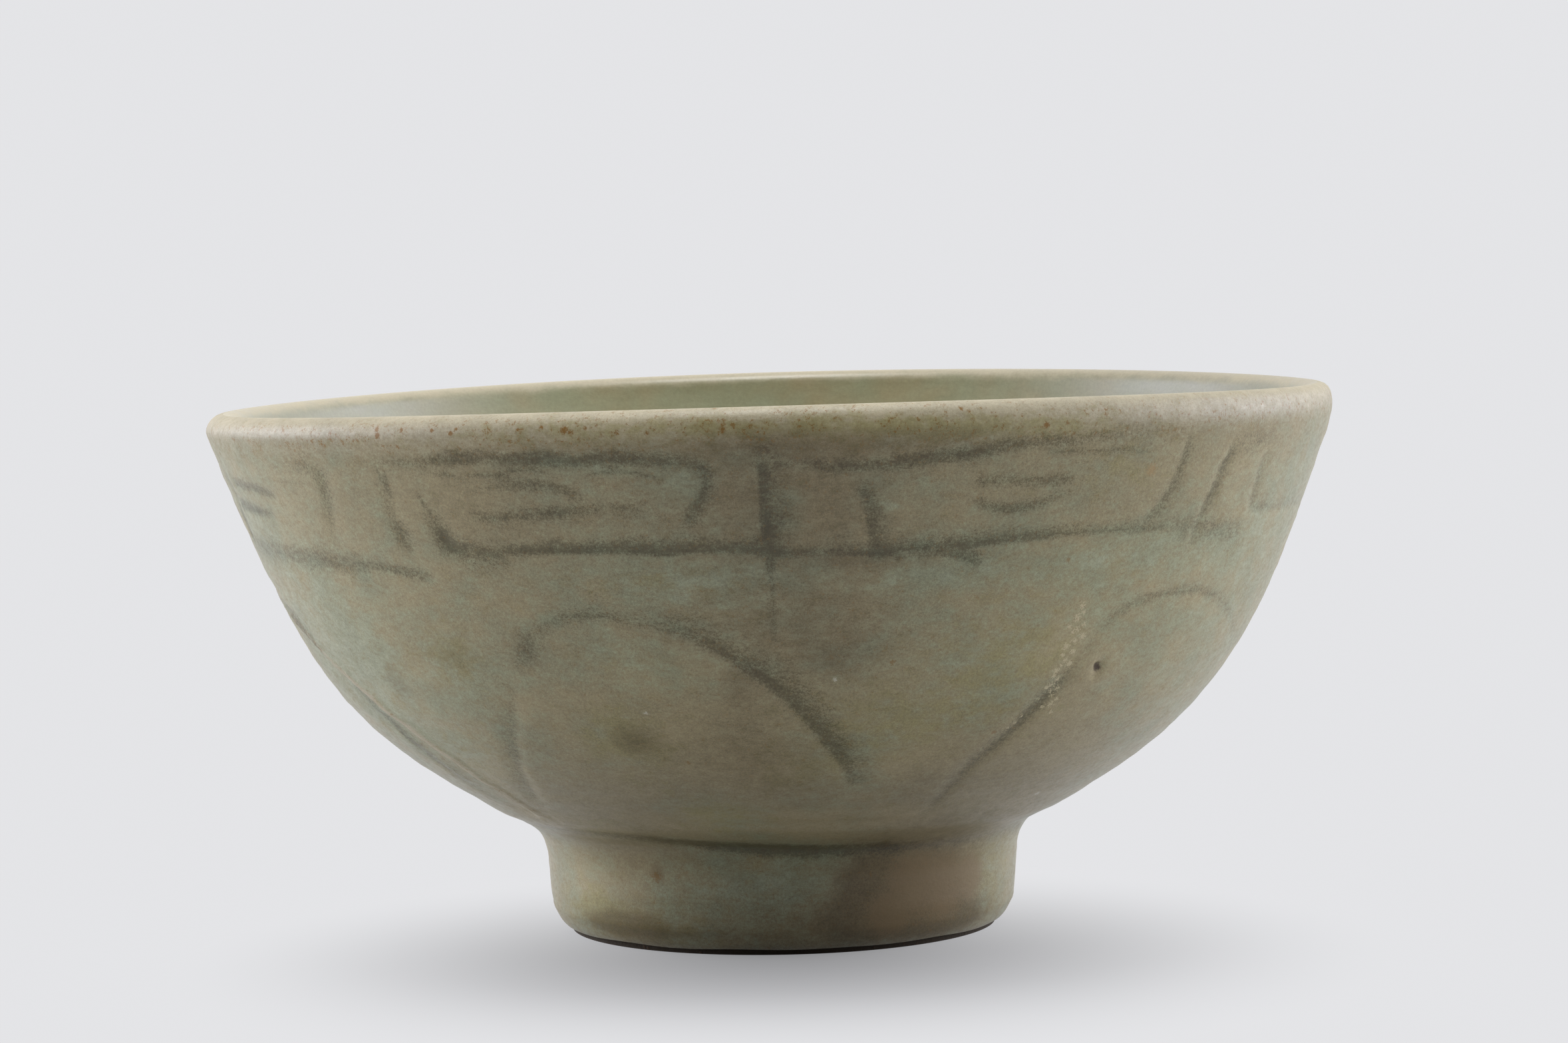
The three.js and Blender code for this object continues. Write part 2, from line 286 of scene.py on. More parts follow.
# The strokes of the side that the picture shows: the band from left to right, and then the petals
STROKES = [
    # The panel that goes round the left side: its end and its cloud
    (SMUDGE, (-59, 64.5, 0.3), (-53.6, 65.2, 0.6), (-50.8, 65.2, 0.8), (-49.6, 64.6, 0.5)),
    (FRET, (-50.8, 65.2, 0.4), (-49.4, 64.3, 0.7), (-49.4, 63, 0.7), (-49.7, 61, 0.55), (-50.3, 58.6, 0.5),
     (-50.9, 57, 0.35), (-51.5, 54.9, 0.2)),
    (SMUDGE, (-50, 65, 0.9), (-49.6, 63.6, 0.9), (-49.8, 61, 0.75), (-50.4, 58.6, 0.6), (-51, 56.6, 0.3)),
    (HAIR, (-60, 63.4, 0.4), (-55, 63.3, 0.5), (-50.5, 63.2, 0.5)),
    (DAB, (-72.6, 62.7, 0.8), (-64.5, 62.1, 0.9), (-59.8, 61.3, 0.6)),
    (DAB, (-74.8, 59.8, 1), (-67.6, 59.1, 1), (-62.2, 58.8, 0.6)),
    # The low line on the left
    (SMUDGE, (-80, 54.2, 0.6), (-74.1, 54, 0.8), (-62.5, 53.6, 0.95), (-55.8, 53.1, 1.1), (-50.8, 52.8, 1),
     (-46.2, 52.7, 0.7)),
    (DAB, (-60, 53.5, 0.5), (-50, 53, 0.65), (-46, 52.8, 0.75), (-42.6, 52.3, 0.8), (-39, 51.7, 0.75),
     (-37.2, 51.2, 0.4)),
    # The cut between the two panels on the left
    (HAIR, (-41.2, 66.3, 0.5), (-40.6, 65, 0.9), (-40.1, 62.7, 1), (-40.4, 61.1, 0.8)),
    (HAIR, (-39.9, 65.9, 0.6), (-39.7, 64.4, 0.9), (-39.8, 62.9, 1), (-39.9, 60.6, 0.6)),
    (FRET, (-40.3, 63.4, 0.3), (-40.3, 62.3, 0.45), (-40.4, 60.4, 0.3), (-40.4, 58.6, 0.4),
     (-40.2, 57.5, 0.7), (-39.9, 56.3, 0.65), (-39.5, 55, 0.5), (-39, 54, 0.3)),
    (SMUDGE, (-40.4, 63.6, 0.4), (-40.3, 61.4, 0.6), (-40.4, 58.9, 0.7), (-39.9, 56.4, 1),
     (-39.4, 54.8, 0.6)),
    # The left panel: its hooked end, top line and cloud
    (SMUDGE, (-36, 60.5, 0.3), (-35.2, 57.8, 0.7), (-34.6, 56, 1), (-33.6, 55.4, 0.9), (-31.2, 54.6, 1),
     (-28.4, 54.2, 0.8), (-26.8, 54.4, 0.4)),
    (HAIR, (-36.4, 62.4, 0.5), (-35.9, 61.1, 0.9), (-35.6, 59.9, 0.8), (-35, 58.4, 0.8), (-34.7, 56.9, 1)),
    (HAIR, (-36.1, 59, 0.7), (-35.6, 57.6, 0.9), (-34.8, 56.3, 1)),
    (FRET, (-35.6, 60.4, 0.3), (-35, 58.4, 0.6), (-34.7, 56.9, 1), (-34.2, 55.6, 1.1), (-33, 55, 1),
     (-31, 54.5, 0.6)),
    (TOP_LINE, (-44, 65.9, 0.2), (-41, 65.9, 0.4), (-38.5, 65.8, 0.5), (-35.4, 65.9, 0.65),
     (-32.9, 66.2, 0.75), (-29.4, 66.4, 0.9), (-27, 66.4, 0.7), (-24.1, 66.1, 0.9), (-21, 66, 1),
     (-18, 65.8, 1), (-15, 66, 0.9), (-12.2, 65.7, 0.8), (-8.7, 65.4, 0.7), (-6.2, 64.9, 0.6)),
    (HAIR, (-35.7, 64.8, 0.4), (-33.8, 64.5, 0.6), (-32.2, 64.4, 0.9), (-30.5, 63.8, 0.7),
     (-28.8, 64.3, 0.8), (-26.6, 64.1, 0.9), (-25.4, 64.6, 0.9), (-24.1, 64.9, 0.9), (-22.2, 64.6, 0.8),
     (-20.6, 64.3, 0.4)),
    (HAIR, (-17.5, 63.9, 0.6), (-15.6, 64.4, 0.9), (-13.8, 64.4, 1), (-12.3, 64, 0.8), (-9.5, 63.4, 0.4)),
    (DAB, (-30.2, 61.9, 0.3), (-28, 62.7, 0.45), (-25.7, 63, 0.6), (-23.5, 63.1, 0.65), (-21.5, 62.9, 0.7),
     (-19.9, 62.3, 0.7), (-18.8, 61.6, 0.6), (-17.5, 60.6, 0.3)),
    (DAB, (-30.7, 59.6, 0.6), (-29.4, 59.1, 0.7), (-26.4, 59.2, 0.8), (-23.1, 59.5, 0.8), (-21, 59.6, 0.9),
     (-18.8, 59.8, 0.8), (-16.3, 60.2, 0.6), (-13.7, 60.1, 0.6), (-11.5, 60, 0.3)),
    (SMUDGE, (-30, 59.1, 0.3), (-26.4, 59, 0.5), (-22, 59.3, 0.6), (-18.5, 59.6, 0.5), (-15, 60, 0.3)),
    (HAIR, (-20.1, 60.9, 0.6), (-18.6, 60.3, 0.8), (-17.2, 60, 0.6)),
    (HAIR, (-15.5, 59.4, 0.5), (-12.8, 59, 0.5), (-8.3, 58.7, 0.4)),
    (HAIR, (-20.1, 58.3, 0.5), (-20.3, 57.1, 0.5)),
    # The low line under the left and right panels
    (DAB, (-34.8, 56.2, 0.7), (-33.2, 55.6, 0.9), (-31, 55, 1), (-29.2, 54.6, 1), (-27.4, 54.8, 0.7)),
    (LOW_LINE, (-28.6, 54.7, 0.5), (-25.7, 54.9, 0.8), (-21.7, 54.9, 0.9), (-17.4, 55, 0.9),
     (-13.6, 54.9, 0.9), (-10.6, 54.6, 1), (-8.2, 54.8, 0.9), (-5.2, 54.8, 0.9), (-2.4, 54.7, 0.9),
     (-0.6, 54.5, 1), (1.2, 54.3, 0.9)),
    (HAIR, (-27, 54.5, 0.7), (-21.7, 54.7, 0.9), (-17.4, 54.8, 0.9), (-13.6, 54.7, 0.9), (-10.6, 54.4, 1),
     (-8.2, 54.6, 0.9), (-5.2, 54.6, 0.9), (-2.4, 54.5, 0.9), (-0.6, 54.3, 1)),
    (HAIR, (-0.2, 54.2, 0.8), (1.7, 54.3, 0.8), (2.7, 54.5, 0.9), (4.7, 54.5, 0.7), (6.7, 54.3, 0.8),
     (8.7, 54, 1)),
    (LOW_LINE, (-1.8, 54.2, 0.7), (0.4, 54.1, 0.8), (4.7, 54.2, 0.55), (8.7, 53.9, 0.75), (10.3, 53.7, 1),
     (11.8, 54.1, 0.8), (13.8, 54.3, 0.8), (16.9, 54.5, 0.6)),
    (DAB, (11.2, 53.7, 0.7), (13.8, 53.8, 0.6), (17, 53.8, 0.9), (19, 53.4, 1), (20.6, 52.5, 0.9),
     (21.4, 51.9, 0.5)),
    (LOW_LINE, (15.6, 54, 0.6), (17.8, 54.2, 0.85), (19.8, 54.5, 0.8), (22.6, 54.7, 0.75),
     (25.3, 54.9, 0.7), (28.7, 55.1, 0.65), (32.3, 55.2, 0.6), (36.1, 55.2, 0.6), (40.3, 55.1, 0.55),
     (43.4, 55.2, 0.6)),
    (HAIR, (17.8, 54, 0.5), (22.6, 54.5, 0.6), (28.7, 54.9, 0.55), (36, 55, 0.5), (43.4, 55, 0.4)),
    # The low line on the right
    (SMUDGE, (41, 55.3, 0.4), (44.1, 55.4, 0.7), (48.1, 55.1, 0.8), (52, 54.5, 0.9), (57.6, 53.7, 0.7)),
    # The other end of the left panel
    (TOP_LINE, (-8.7, 65.3, 0.5), (-7, 65, 0.7), (-6.1, 64.2, 0.8), (-6, 62.7, 0.7), (-6.5, 61.1, 0.9),
     (-7.4, 59.4, 0.9), (-8.5, 57.8, 0.4), (-9.4, 56.8, 0.2)),
    (SMUDGE, (-6, 62.8, 0.4), (-6.2, 61.2, 0.7), (-7.4, 59.2, 0.6)),
    (DAB, (-7, 59.6, 0.5), (-7.9, 58.6, 1), (-8.6, 58.4, 0.5)),
    # The divider in the middle, which runs on below the band
    (DIVIDER, (-1, 65.4, 0.7), (-1, 63.8, 0.8), (-0.9, 62.3, 0.8), (-0.9, 60.2, 0.8), (-0.8, 57.8, 0.9),
     (-0.7, 56.1, 0.9), (-0.5, 54.6, 0.9), (-0.4, 53.2, 0.7)),
    (SMUDGE, (-1.2, 68.2, 0.5), (-0.8, 66.4, 0.8), (0.2, 64.6, 0.8), (0.6, 62.6, 0.6), (0.6, 60, 0.6),
     (0.7, 57, 0.7), (0.5, 55.2, 0.8)),
    (DAB, (-0.4, 55, 0.8), (-0.3, 54, 1), (-0.4, 52.6, 0.8), (-0.3, 51.7, 0.5), (-0.4, 48.9, 0.35),
     (-0.3, 45.4, 0.3), (-0.2, 42, 0.15)),
    (HAIR, (-0.4, 53, 0.7), (-0.3, 50, 0.85), (-0.3, 46.5, 0.75), (-0.2, 43, 0.5)),
    (HAIR, (-0.3, 64, 0.9), (0.6, 64.6, 1), (1.5, 64.9, 0.9), (2.6, 65.2, 0.6)),
    (HAIR, (0.4, 63.5, 0.4), (1.2, 64.1, 0.5), (2.2, 64.5, 0.4)),
    # The right panel: its top line, hooked end and cloud
    (TOP_LINE, (2.4, 64.8, 0.5), (4, 64.6, 0.7), (5.2, 64.3, 0.7), (6.8, 64.4, 0.8), (9.4, 64.4, 0.8),
     (12.3, 64.7, 0.9), (16.1, 65.1, 0.9), (20.1, 65.6, 0.9), (21.8, 66, 0.8), (23.9, 66.3, 0.8),
     (27.1, 66.5, 0.75), (29.3, 66.4, 0.65), (32.6, 66.8, 0.6), (36.3, 66.8, 0.45), (39.8, 67.1, 0.4)),
    (DAB, (7, 65.3, 0.7), (8, 64.9, 0.4)),
    (SMUDGE, (33.7, 67.3, 0.5), (36.2, 67.1, 0.55), (40, 67.2, 0.4), (44.4, 66.7, 0.5)),
    (HAIR, (26.4, 65.1, 0.7), (28.3, 65.2, 0.8), (31.8, 65, 0.8), (35.4, 65, 0.9), (38.7, 64.7, 0.7)),
    (FRET, (8, 62.6, 0.25), (8.6, 61.2, 0.6), (9.2, 59.6, 0.7), (9.5, 57.7, 0.7), (9.8, 55.7, 0.85),
     (10, 54, 1)),
    (SMUDGE, (9.7, 56.4, 0.3), (10.3, 54.6, 0.7), (11.4, 53.8, 0.7)),
    (HAIR, (9.3, 59.6, 0.6), (9.6, 57.7, 1), (9.8, 55.7, 1), (10, 54.4, 0.8)),
    (DAB, (19.1, 61.9, 0.6), (21.2, 62, 0.75), (23.3, 62.1, 0.7), (25.9, 61.8, 0.75), (28.2, 61.7, 0.75),
     (30.4, 62, 0.5)),
    (DAB, (19.3, 59.9, 0.6), (20.9, 59.2, 0.75), (22.6, 58.7, 0.85), (25.5, 58.7, 0.8), (26.8, 59.1, 0.7),
     (28.4, 59.9, 0.6), (30.4, 60.6, 0.35)),
    # The two cuts after the right panel
    (HAIR, (43.1, 55.9, 0.8), (43.2, 56.8, 0.7)),
    (FRET, (44.2, 66.9, 0.4), (43.8, 65.4, 0.55), (43.5, 63.2, 0.65), (43, 61, 0.65), (42.3, 59.1, 0.6),
     (41.1, 57.2, 0.7), (39.6, 56.1, 0.4)),
    (FRET, (51.2, 65.4, 0.6), (50.4, 62.6, 0.75), (49.7, 60.4, 0.75), (49.2, 58.4, 0.65), (48.6, 56.5, 0.6),
     (48.3, 54.5, 0.6), (48.6, 52.2, 0.4)),
    (SMUDGE, (43.7, 64.4, 0.3), (43.1, 61, 0.5), (42.2, 58.6, 0.55), (40.6, 56.8, 0.45)),
    (SMUDGE, (50.6, 63, 0.3), (49.8, 60, 0.5), (48.9, 57, 0.6), (48.4, 54.4, 0.65), (48.6, 52.4, 0.4)),
    # The panel that goes round the right side
    (SMUDGE, (49.6, 65, 0.3), (53.6, 65, 0.8), (57, 65.3, 0.7), (63.5, 65.8, 0.3), (76, 66.3, 0.2)),
    (FRET, (58.2, 64.3, 0.4), (57.8, 61.7, 0.4), (57.8, 59.7, 0.45), (58, 57.6, 0.5), (59, 56.6, 0.5),
     (64.4, 56.4, 0.5), (79, 56.2, 0.4)),
    # The middle petal: its left edge, its tip and its right edge
    (PETAL, (-43, 21, 0.5), (-41.3, 23.7, 0.6), (-39.2, 26.2, 0.65), (-36.2, 30.3, 0.6),
     (-34.2, 33.2, 0.55), (-32.7, 36, 0.4), (-31.2, 38.6, 0.3)),
    (SMUDGE, (-31, 39.5, 0.4), (-28.9, 41.8, 0.8), (-27.1, 43.8, 0.8), (-24.5, 45.6, 0.5)),
    (PETAL, (-28.9, 41.8, 0.35), (-27.1, 43.8, 0.5), (-24.5, 45.8, 0.6), (-21.9, 46.6, 0.65),
     (-18.5, 46.8, 0.7), (-14.8, 46.1, 0.6), (-11.8, 45.4, 0.4)),
    (BROAD_PETAL, (-14.8, 46.1, 0.4), (-10.3, 44.9, 0.7), (-7.6, 43.4, 0.75), (-4.7, 41.4, 0.8),
     (-1.1, 38.4, 0.9), (2.3, 34.9, 0.95), (5.2, 31.5, 0.95), (8.6, 27.2, 0.8), (10.7, 24, 0.5)),
    (SMUDGE, (-22.9, 46.5, 0.3), (-19.8, 48.2, 0.45), (-18.4, 49, 0.5), (-17, 49.5, 0.3)),
    # The right petal
    (PETAL, (25.4, 19, 0.4), (26.6, 24.2, 0.6), (28.3, 27.4, 0.8), (30.7, 30.4, 0.85), (32.6, 33.4, 0.95),
     (34.6, 36.3, 0.8), (36.1, 39.2, 0.4), (37.3, 42, 0.3), (39.5, 44.5, 0.35)),
    (DAB, (37.8, 42.5, 0.4), (39.6, 44.6, 0.6), (42.1, 46, 0.75), (47.6, 46.9, 0.75), (53.2, 46.7, 0.7),
     (59, 45, 0.6), (65, 42, 0.5), (71.8, 37.7, 0.3), (78.5, 30, 0.2)),
    # The left petal, whose ridge shows against the backdrop
    (RIDGED_PETAL, (-50.6, 18.6, 0.5), (-53.4, 24.4, 1), (-55.9, 27.6, 1), (-58.3, 30.1, 1),
     (-61.1, 32.5, 1), (-65.2, 36.1, 1), (-71.2, 40.4, 0.9), (-79, 44.1, 0.5)),
    # A scratch above the foot
    (HAIR, (48.7, 20, 0.3), (48.4, 23.4, 0.3), (49.6, 26.4, 0.2)),
]

# The groove above the foot, a little crooked all the way round
NECK_GROOVE = [
    (-180, 14, 0.7), (-130, 14.8, 0.6), (-90, 15.8, 0.5), (-60, 16.4, 0.35), (-34, 16.1, 0.6),
    (-18, 15.1, 0.9), (-2, 14.3, 1.05), (10, 14, 0.9), (25, 14, 0.7), (37, 13.6, 0.4), (56, 13.7, 0.3),
    (90, 13.5, 0.5), (135, 13.7, 0.8), (180, 14, 0.7),
]

# The sides that the picture doesn't show go on in the same way: where the panels of the band start and end,
# and the middles of the petals
HIDDEN_PANELS = [(88, 126), (139, 176), (189, 228), (240, 274)]
HIDDEN_PETALS = [126, 200, 276]
PETAL_REACH = 27.5
PETAL_TOP = 46.7
PETAL_FOOT = 20.0


def by_hand(draw, points, turn_slip=0.35, height_slip=0.25):
    """The same points, as near and as hard as a hand makes them."""
    return [
        (turn + draw.normal(0, turn_slip), height + draw.normal(0, height_slip), draw.uniform(0.5, 0.95))
        for turn, height in points
    ]


def panel(draw, start, end):
    """A panel of the band: two long lines, a hooked end, a cloud in the middle, and two cuts after it."""
    steps = np.linspace(start, end, 8)
    cloud = (start + end) / 2 + (end - start) * draw.uniform(0.24, 0.3) * np.linspace(-1, 1, 5)
    lean = draw.uniform(-0.8, 1.6)
    hook = [(end, 65.2), (end + 0.4, 63.4), (end - 0.4, 60.6), (end - 2.2, 57.6)]
    first_cut = [(end + 4.2 + lean, 65.4), (end + 4.3 + lean, 61.5), (end + 4.4, 58.0), (end + 4.6, 54.0)]
    second_cut = [(end + 9.0 + lean, 63.8), (end + 9.2 + lean, 60.5), (end + 9.3, 57.5), (end + 9.8, 53.6)]
    return [
        (TOP_LINE, *by_hand(draw, [(turn, 65.8) for turn in steps], 0.5, 0.35)),
        (LOW_LINE, *by_hand(draw, [(turn, 54.9) for turn in steps + 3], 0.5, 0.3)),
        (DAB, *by_hand(draw, hook)),
        (DAB, *by_hand(draw, list(zip(cloud, [61.6, 62.7, 63.0, 62.5, 61.0])))),
        (DAB, *by_hand(draw, list(zip(cloud, [59.9, 59.2, 59.1, 59.5, 60.3])))),
        (HAIR, *by_hand(draw, [(turn, 64.3) for turn in steps[1:5]], 0.5, 0.3)),
        (FRET, *by_hand(draw, first_cut)),
        (FRET, *by_hand(draw, second_cut)),
    ]


def petal(draw, middle):
    """A petal's edge, which rises from the groove, rounds over and comes down again."""
    across = np.linspace(-0.97, 0.97, 17)
    height = PETAL_FOOT + (PETAL_TOP - PETAL_FOOT) * (1 - np.abs(across) ** 2.2)
    tip = [(middle - 3, PETAL_TOP), (middle, PETAL_TOP + 1.4), (middle + 2, PETAL_TOP + 2.6)]
    edge = by_hand(draw, list(zip(middle + PETAL_REACH * across, height)), 0.3, 0.3)
    return [(PETAL, *edge), (HAIR, *by_hand(draw, tip))]


def all_strokes():
    """The strokes of the shown side, and those of the hidden sides."""
    draw = np.random.default_rng(11)
    strokes = list(STROKES)
    for start, end in HIDDEN_PANELS:
        strokes.extend(panel(draw, start, end))
    for middle in HIDDEN_PETALS:
        strokes.extend(petal(draw, middle))
    return strokes


WAY_STEPS = 5


def rounded_way(points):
    """A smooth way through points."""
    way = np.array(points, float)
    ends = np.concatenate([[2 * way[0] - way[1]], way, [2 * way[-1] - way[-2]]])
    share = np.arange(WAY_STEPS)[:, None] / WAY_STEPS
    found = []
    for a, b, c, d in zip(ends, ends[1:], ends[2:], ends[3:]):
        bend = (2 * a - 5 * b + 4 * c - d) * share**2 + (3 * b - a - 3 * c + d) * share**3
        found.extend(b + 0.5 * ((c - a) * share + bend))
    return np.array(found + [way[-1]])


def nearest(x, y, way_x, way_y):
    """The spot on a way that is nearest to each place: the gap to it, whether the place is on the left of
    the way, the stretch that the spot is on, its share of that stretch, and how long the stretches are."""
    run_x, run_y = np.diff(way_x, axis=1), np.diff(way_y)[None, :]
    squared = np.maximum(run_x**2 + run_y**2, 1e-9)
    past_x, past_y = x - way_x[:, :-1], y - way_y[None, :-1]
    share = np.clip((past_x * run_x + past_y * run_y) / squared, 0, 1)
    off_x, off_y = past_x - share * run_x, past_y - share * run_y
    gap = np.hypot(off_x, off_y)
    best = gap.argmin(1)
    pick = np.arange(len(best)), best
    on_left = (off_x * run_y - off_y * run_x)[pick] > 0
    return gap[pick], on_left, best, share[pick], np.sqrt(squared).mean(0)


class Cuts:
    """What the strokes leave on a grid of turns and distances down the outside."""

    # In millimetres: how far a stroke's marks reach, and how far outside and inside its ends they run out
    REACH = 5.0
    BLUNT = 0.6
    TAPER = 0.9
    # The hardest press of the knife, and how unsteady the hand is
    MOST_FORCE = 1.3
    WOBBLE = 0.13

    def __init__(self, turn, distance):
        self.turn, self.distance = turn, distance
        self.radius = outside.at(distance)[..., 0]
        self.depth, self.ridge, self.line, self.pool = np.zeros((4, *turn.shape))

    def draw(self, style, points, taper=True):
        """Draws a stroke. Taper is for ends that run out."""
        way = rounded_way(points)
        way_turn, way_down, force = way[:, 0], outside.down_to(way[:, 1]), way[:, 2]
        middle = (way_turn.min() + way_turn.max()) / 2
        away = apart(self.turn, middle)
        reach = (way_turn.max() - way_turn.min()) / 2 + np.degrees(self.REACH / self.radius)
        near = (np.abs(away) <= reach) & (self.distance > way_down.min() - self.REACH)
        near &= self.distance < way_down.max() + self.REACH
        radius = self.radius[near][:, None]
        x, y = np.radians(away[near])[:, None] * radius, self.distance[near][:, None]
        way_x = np.radians(way_turn - middle)[None, :] * radius
        gap, on_left, best, share, lengths = nearest(x, y, way_x, way_down)
        gap = gap * (1 + style.get("wobble", self.WOBBLE) * HAND(self.turn[near], self.distance[near]))
        force = np.clip(force[best] + share * (force[best + 1] - force[best]), 0, self.MOST_FORCE)
        if taper:
            travelled = np.concatenate([[0], np.cumsum(lengths)])
            along = travelled[best] + share * (travelled[best + 1] - travelled[best])
            for from_end in (along, travelled[-1] - along):
                force = force * smooth(-self.BLUNT, self.TAPER, from_end)
        self.leave(near, style, gap, on_left, force)

    def leave(self, near, style, gap, sloping, force):
        """Adds one stroke to the fields, at gap millimetres from its middle."""
        slope, depth, back, dark = style["slope"], style["depth"], style["back"], style["dark"]
        reach = np.where(sloping, style["core"], back) * (0.75 + 0.25 * force)
        soft = 1 - smooth(0.1, 1.75, gap / reach)
        edged = 1 - 0.42 * smooth(0.05, 0.6, gap / reach) - 0.58 * smooth(0.5, 1.5, gap / reach)
        dent = 1 - smooth(0, np.maximum(slope * sloping, 0.5 + back * 1.6), gap)
        crest = bump(0.5 + back * 1.2, 0.3 + back * 0.8, gap) * ~sloping
        left = {
            "depth": depth * dent,
            "ridge": depth * style["ridge"] * crest,
            "line": dark * np.where(sloping & (slope > 0), edged, soft),
            "pool": dark * bump(0, np.where(sloping, slope * 0.7, back * 1.3) + 0.01, gap),
        }
        for name, value in left.items():
            field = getattr(self, name)
            field[near] = np.maximum(field[near], value * force)


# Soft patches of colour in the glaze, where some of the dark and pale ones are painted shade and light:
# turn, height, how far each reaches in degrees and in height, and how strong it is
GREEN_PATCHES = [
    (-62, 45, 22, 45, 0.6), (64, 42, 22, 45, 0.6), (-30, 50, 8, 20, 0.2), (33, 50, 6, 12, 0.3),
    (-11, 65.5, 9, 3, 0.5), (-9, 51, 10, 2.4, 1), (18, 51.2, 14, 2.4, 0.8), (11, 60, 3, 3, 0.6),
    (23, 57, 6, 2, 0.4), (18, 43, 6, 4, 0.5), (-12, 40, 6, 4, 0.9), (-18, 42, 4, 3, 0.6),
    (-5, 20.5, 11, 3.5, 0.9), (-8, 9, 16, 5, 0.9), (-39, 39, 5, 4, 0.4), (-66, 40, 9, 12, 0.6),
    (32, 62, 4, 3, 0.3), (-55, 39, 7, 7, 0.6), (12, 27, 5, 4, 0.5), (-30, 7, 4, 3, 0.8), (4, 9, 8, 4, 0.4),
    (56, 52, 14, 4, 0.35), (-72, 60, 6, 6, 0.5), (74, 62, 8, 8, 0.5), (2, 45, 10, 8, 0.35),
    (24, 36, 7, 5, 0.5), (1.5, 59, 1.6, 5, 0.8), (-21, 66, 6, 1.5, 0.7), (-14, 57, 8, 2, 0.3),
    (-8, 62, 3, 3, 0.5), (38, 52, 8, 3, 0.5), (110, 50, 14, 3, 0.8), (150, 38, 12, 7, 0.6),
    (185, 52, 16, 3, 0.8), (215, 33, 12, 6, 0.6), (250, 51, 14, 4, 0.7), (130, 9, 18, 5, 0.7),
    (235, 9, 20, 5, 0.7), (170, 61, 8, 4, 0.6), (262, 62, 8, 4, 0.5),
]
BROWN_PATCHES = [
    (-43, 17, 14, 4, 1.1), (45, 17, 14, 4, 1.2), (50, 8, 8, 5, 0.8), (0, 19, 60, 4, 0.4),
    (32, 24, 14, 6, 0.4), (-13, 27, 12, 5, 0.5), (0, 22, 9, 4, 0.6), (24, 26, 10, 5, 0.7),
    (29, 17, 12, 3, 0.8), (35, 9, 7, 4, 1.6), (-36, 68.5, 10, 2, 0.5), (26, 68.5, 14, 2, 0.6),
    (-1, 68.2, 7, 1.8, 1), (-20, 68.6, 6, 1.6, 0.7), (5, 61, 2.5, 4, 0.6), (-3.5, 62, 2, 3, 0.7),
    (28, 8, 9, 5, 0.9), (7, 56.5, 5, 3, 0.8), (-7, 35, 13, 8, 0.8), (-32, 61, 10, 6, 0.9),
    (-50, 60, 7, 7, 0.4), (36, 62, 9, 6, 0.7), (-2, 69.5, 36, 1.6, 0.6), (36, 35, 6, 6, 0.7),
    (38, 38, 3, 3, 0.6), (-29, 22, 10, 4, 0.6), (31, 9, 9, 6, 1), (19, 8, 6, 4, 1.1), (44, 9, 9, 5, 0.9),
    (-51, 62, 6, 5, 0.5), (8, 47, 5, 4, 0.4), (40, 27, 10, 8, 0.3), (52, 62, 6, 5, 0.3),
    (48, 26, 10, 6, 0.6), (-66, 62, 8, 4, 0.3), (62, 66, 12, 3, 0.6), (97, 60, 10, 5, 0.6),
    (125, 30, 14, 7, 0.7), (160, 47, 10, 4, 0.6), (190, 28, 12, 6, 0.7), (230, 44, 10, 5, 0.6),
    (265, 32, 12, 7, 0.6), (95, 9, 12, 5, 0.7), (190, 8, 16, 5, 0.9), (275, 9, 10, 4, 0.6),
]
OLIVE_PATCHES = [
    (14, 33, 12, 5, 0.65), (27, 40, 8, 6, 0.6), (2, 68.2, 40, 1.6, 0.45), (-2, 69.4, 26, 1.3, 0.52),
    (-14, 51, 10, 2, 0.3), (-19, 31, 6, 4, 1.05), (3, 26, 6, 3, 0.6), (36, 63, 6, 3, 0.5),
    (-11, 20, 7, 3, 0.8), (-51, 4.5, 14, 3.5, 1), (-28, 3.2, 10, 2, 0.8), (44, 9, 8, 5, 0.5),
    (-38, 17.2, 8, 2, 0.5), (38, 17.2, 8, 2, 0.5), (-39, 41, 4, 4, 0.7), (60, 8, 14, 5, 0.6),
    (-45, 27, 7, 5, 0.4), (20, 68, 16, 1.5, 0.5), (120, 42, 10, 5, 0.7), (176, 34, 12, 5, 0.6),
    (244, 24, 10, 4, 0.7), (205, 62, 8, 4, 0.6), (150, 5, 20, 3, 0.8),
]
# Paler patches: partly paler glaze and partly painted light, lighter on the left and right of the wall,
# along the front of the lip and on the swelling above the groove over the foot; the negative ones are
# painted shade on the lip's left and right
PALE_GLAZE_AND_PAINTED_LIGHT_PATCHES = [
    (-54, 38, 20, 40, 1), (58, 40, 24, 40, 1.2), (-48, 9, 16, 7, 1.3), (-2, 69.4, 34, 2.2, 1.7),
    (0, 17.5, 34, 2.5, 2.1), (-45, 17.5, 10, 3, 0.6), (-52, 28, 10, 8, 0.7), (12, 25, 10, 6, 0.4),
    (-14, 40, 8, 6, 0.8), (14, 28, 8, 5, 0.8), (36, 45, 14, 12, 1), (28, 42, 12, 10, 0.35),
    (-52, 70, 14, 3, -0.7), (52, 70, 16, 3, -0.8), (0, 19.8, 28, 2.2, 1.2), (0, 10, 12, 4, 1),
    (-24, 9, 10, 6, 0.7), (-60, 8, 12, 8, 0.7), (50, 8, 12, 6, -0.5), (0, 3.2, 8, 1.5, 0.8),
]
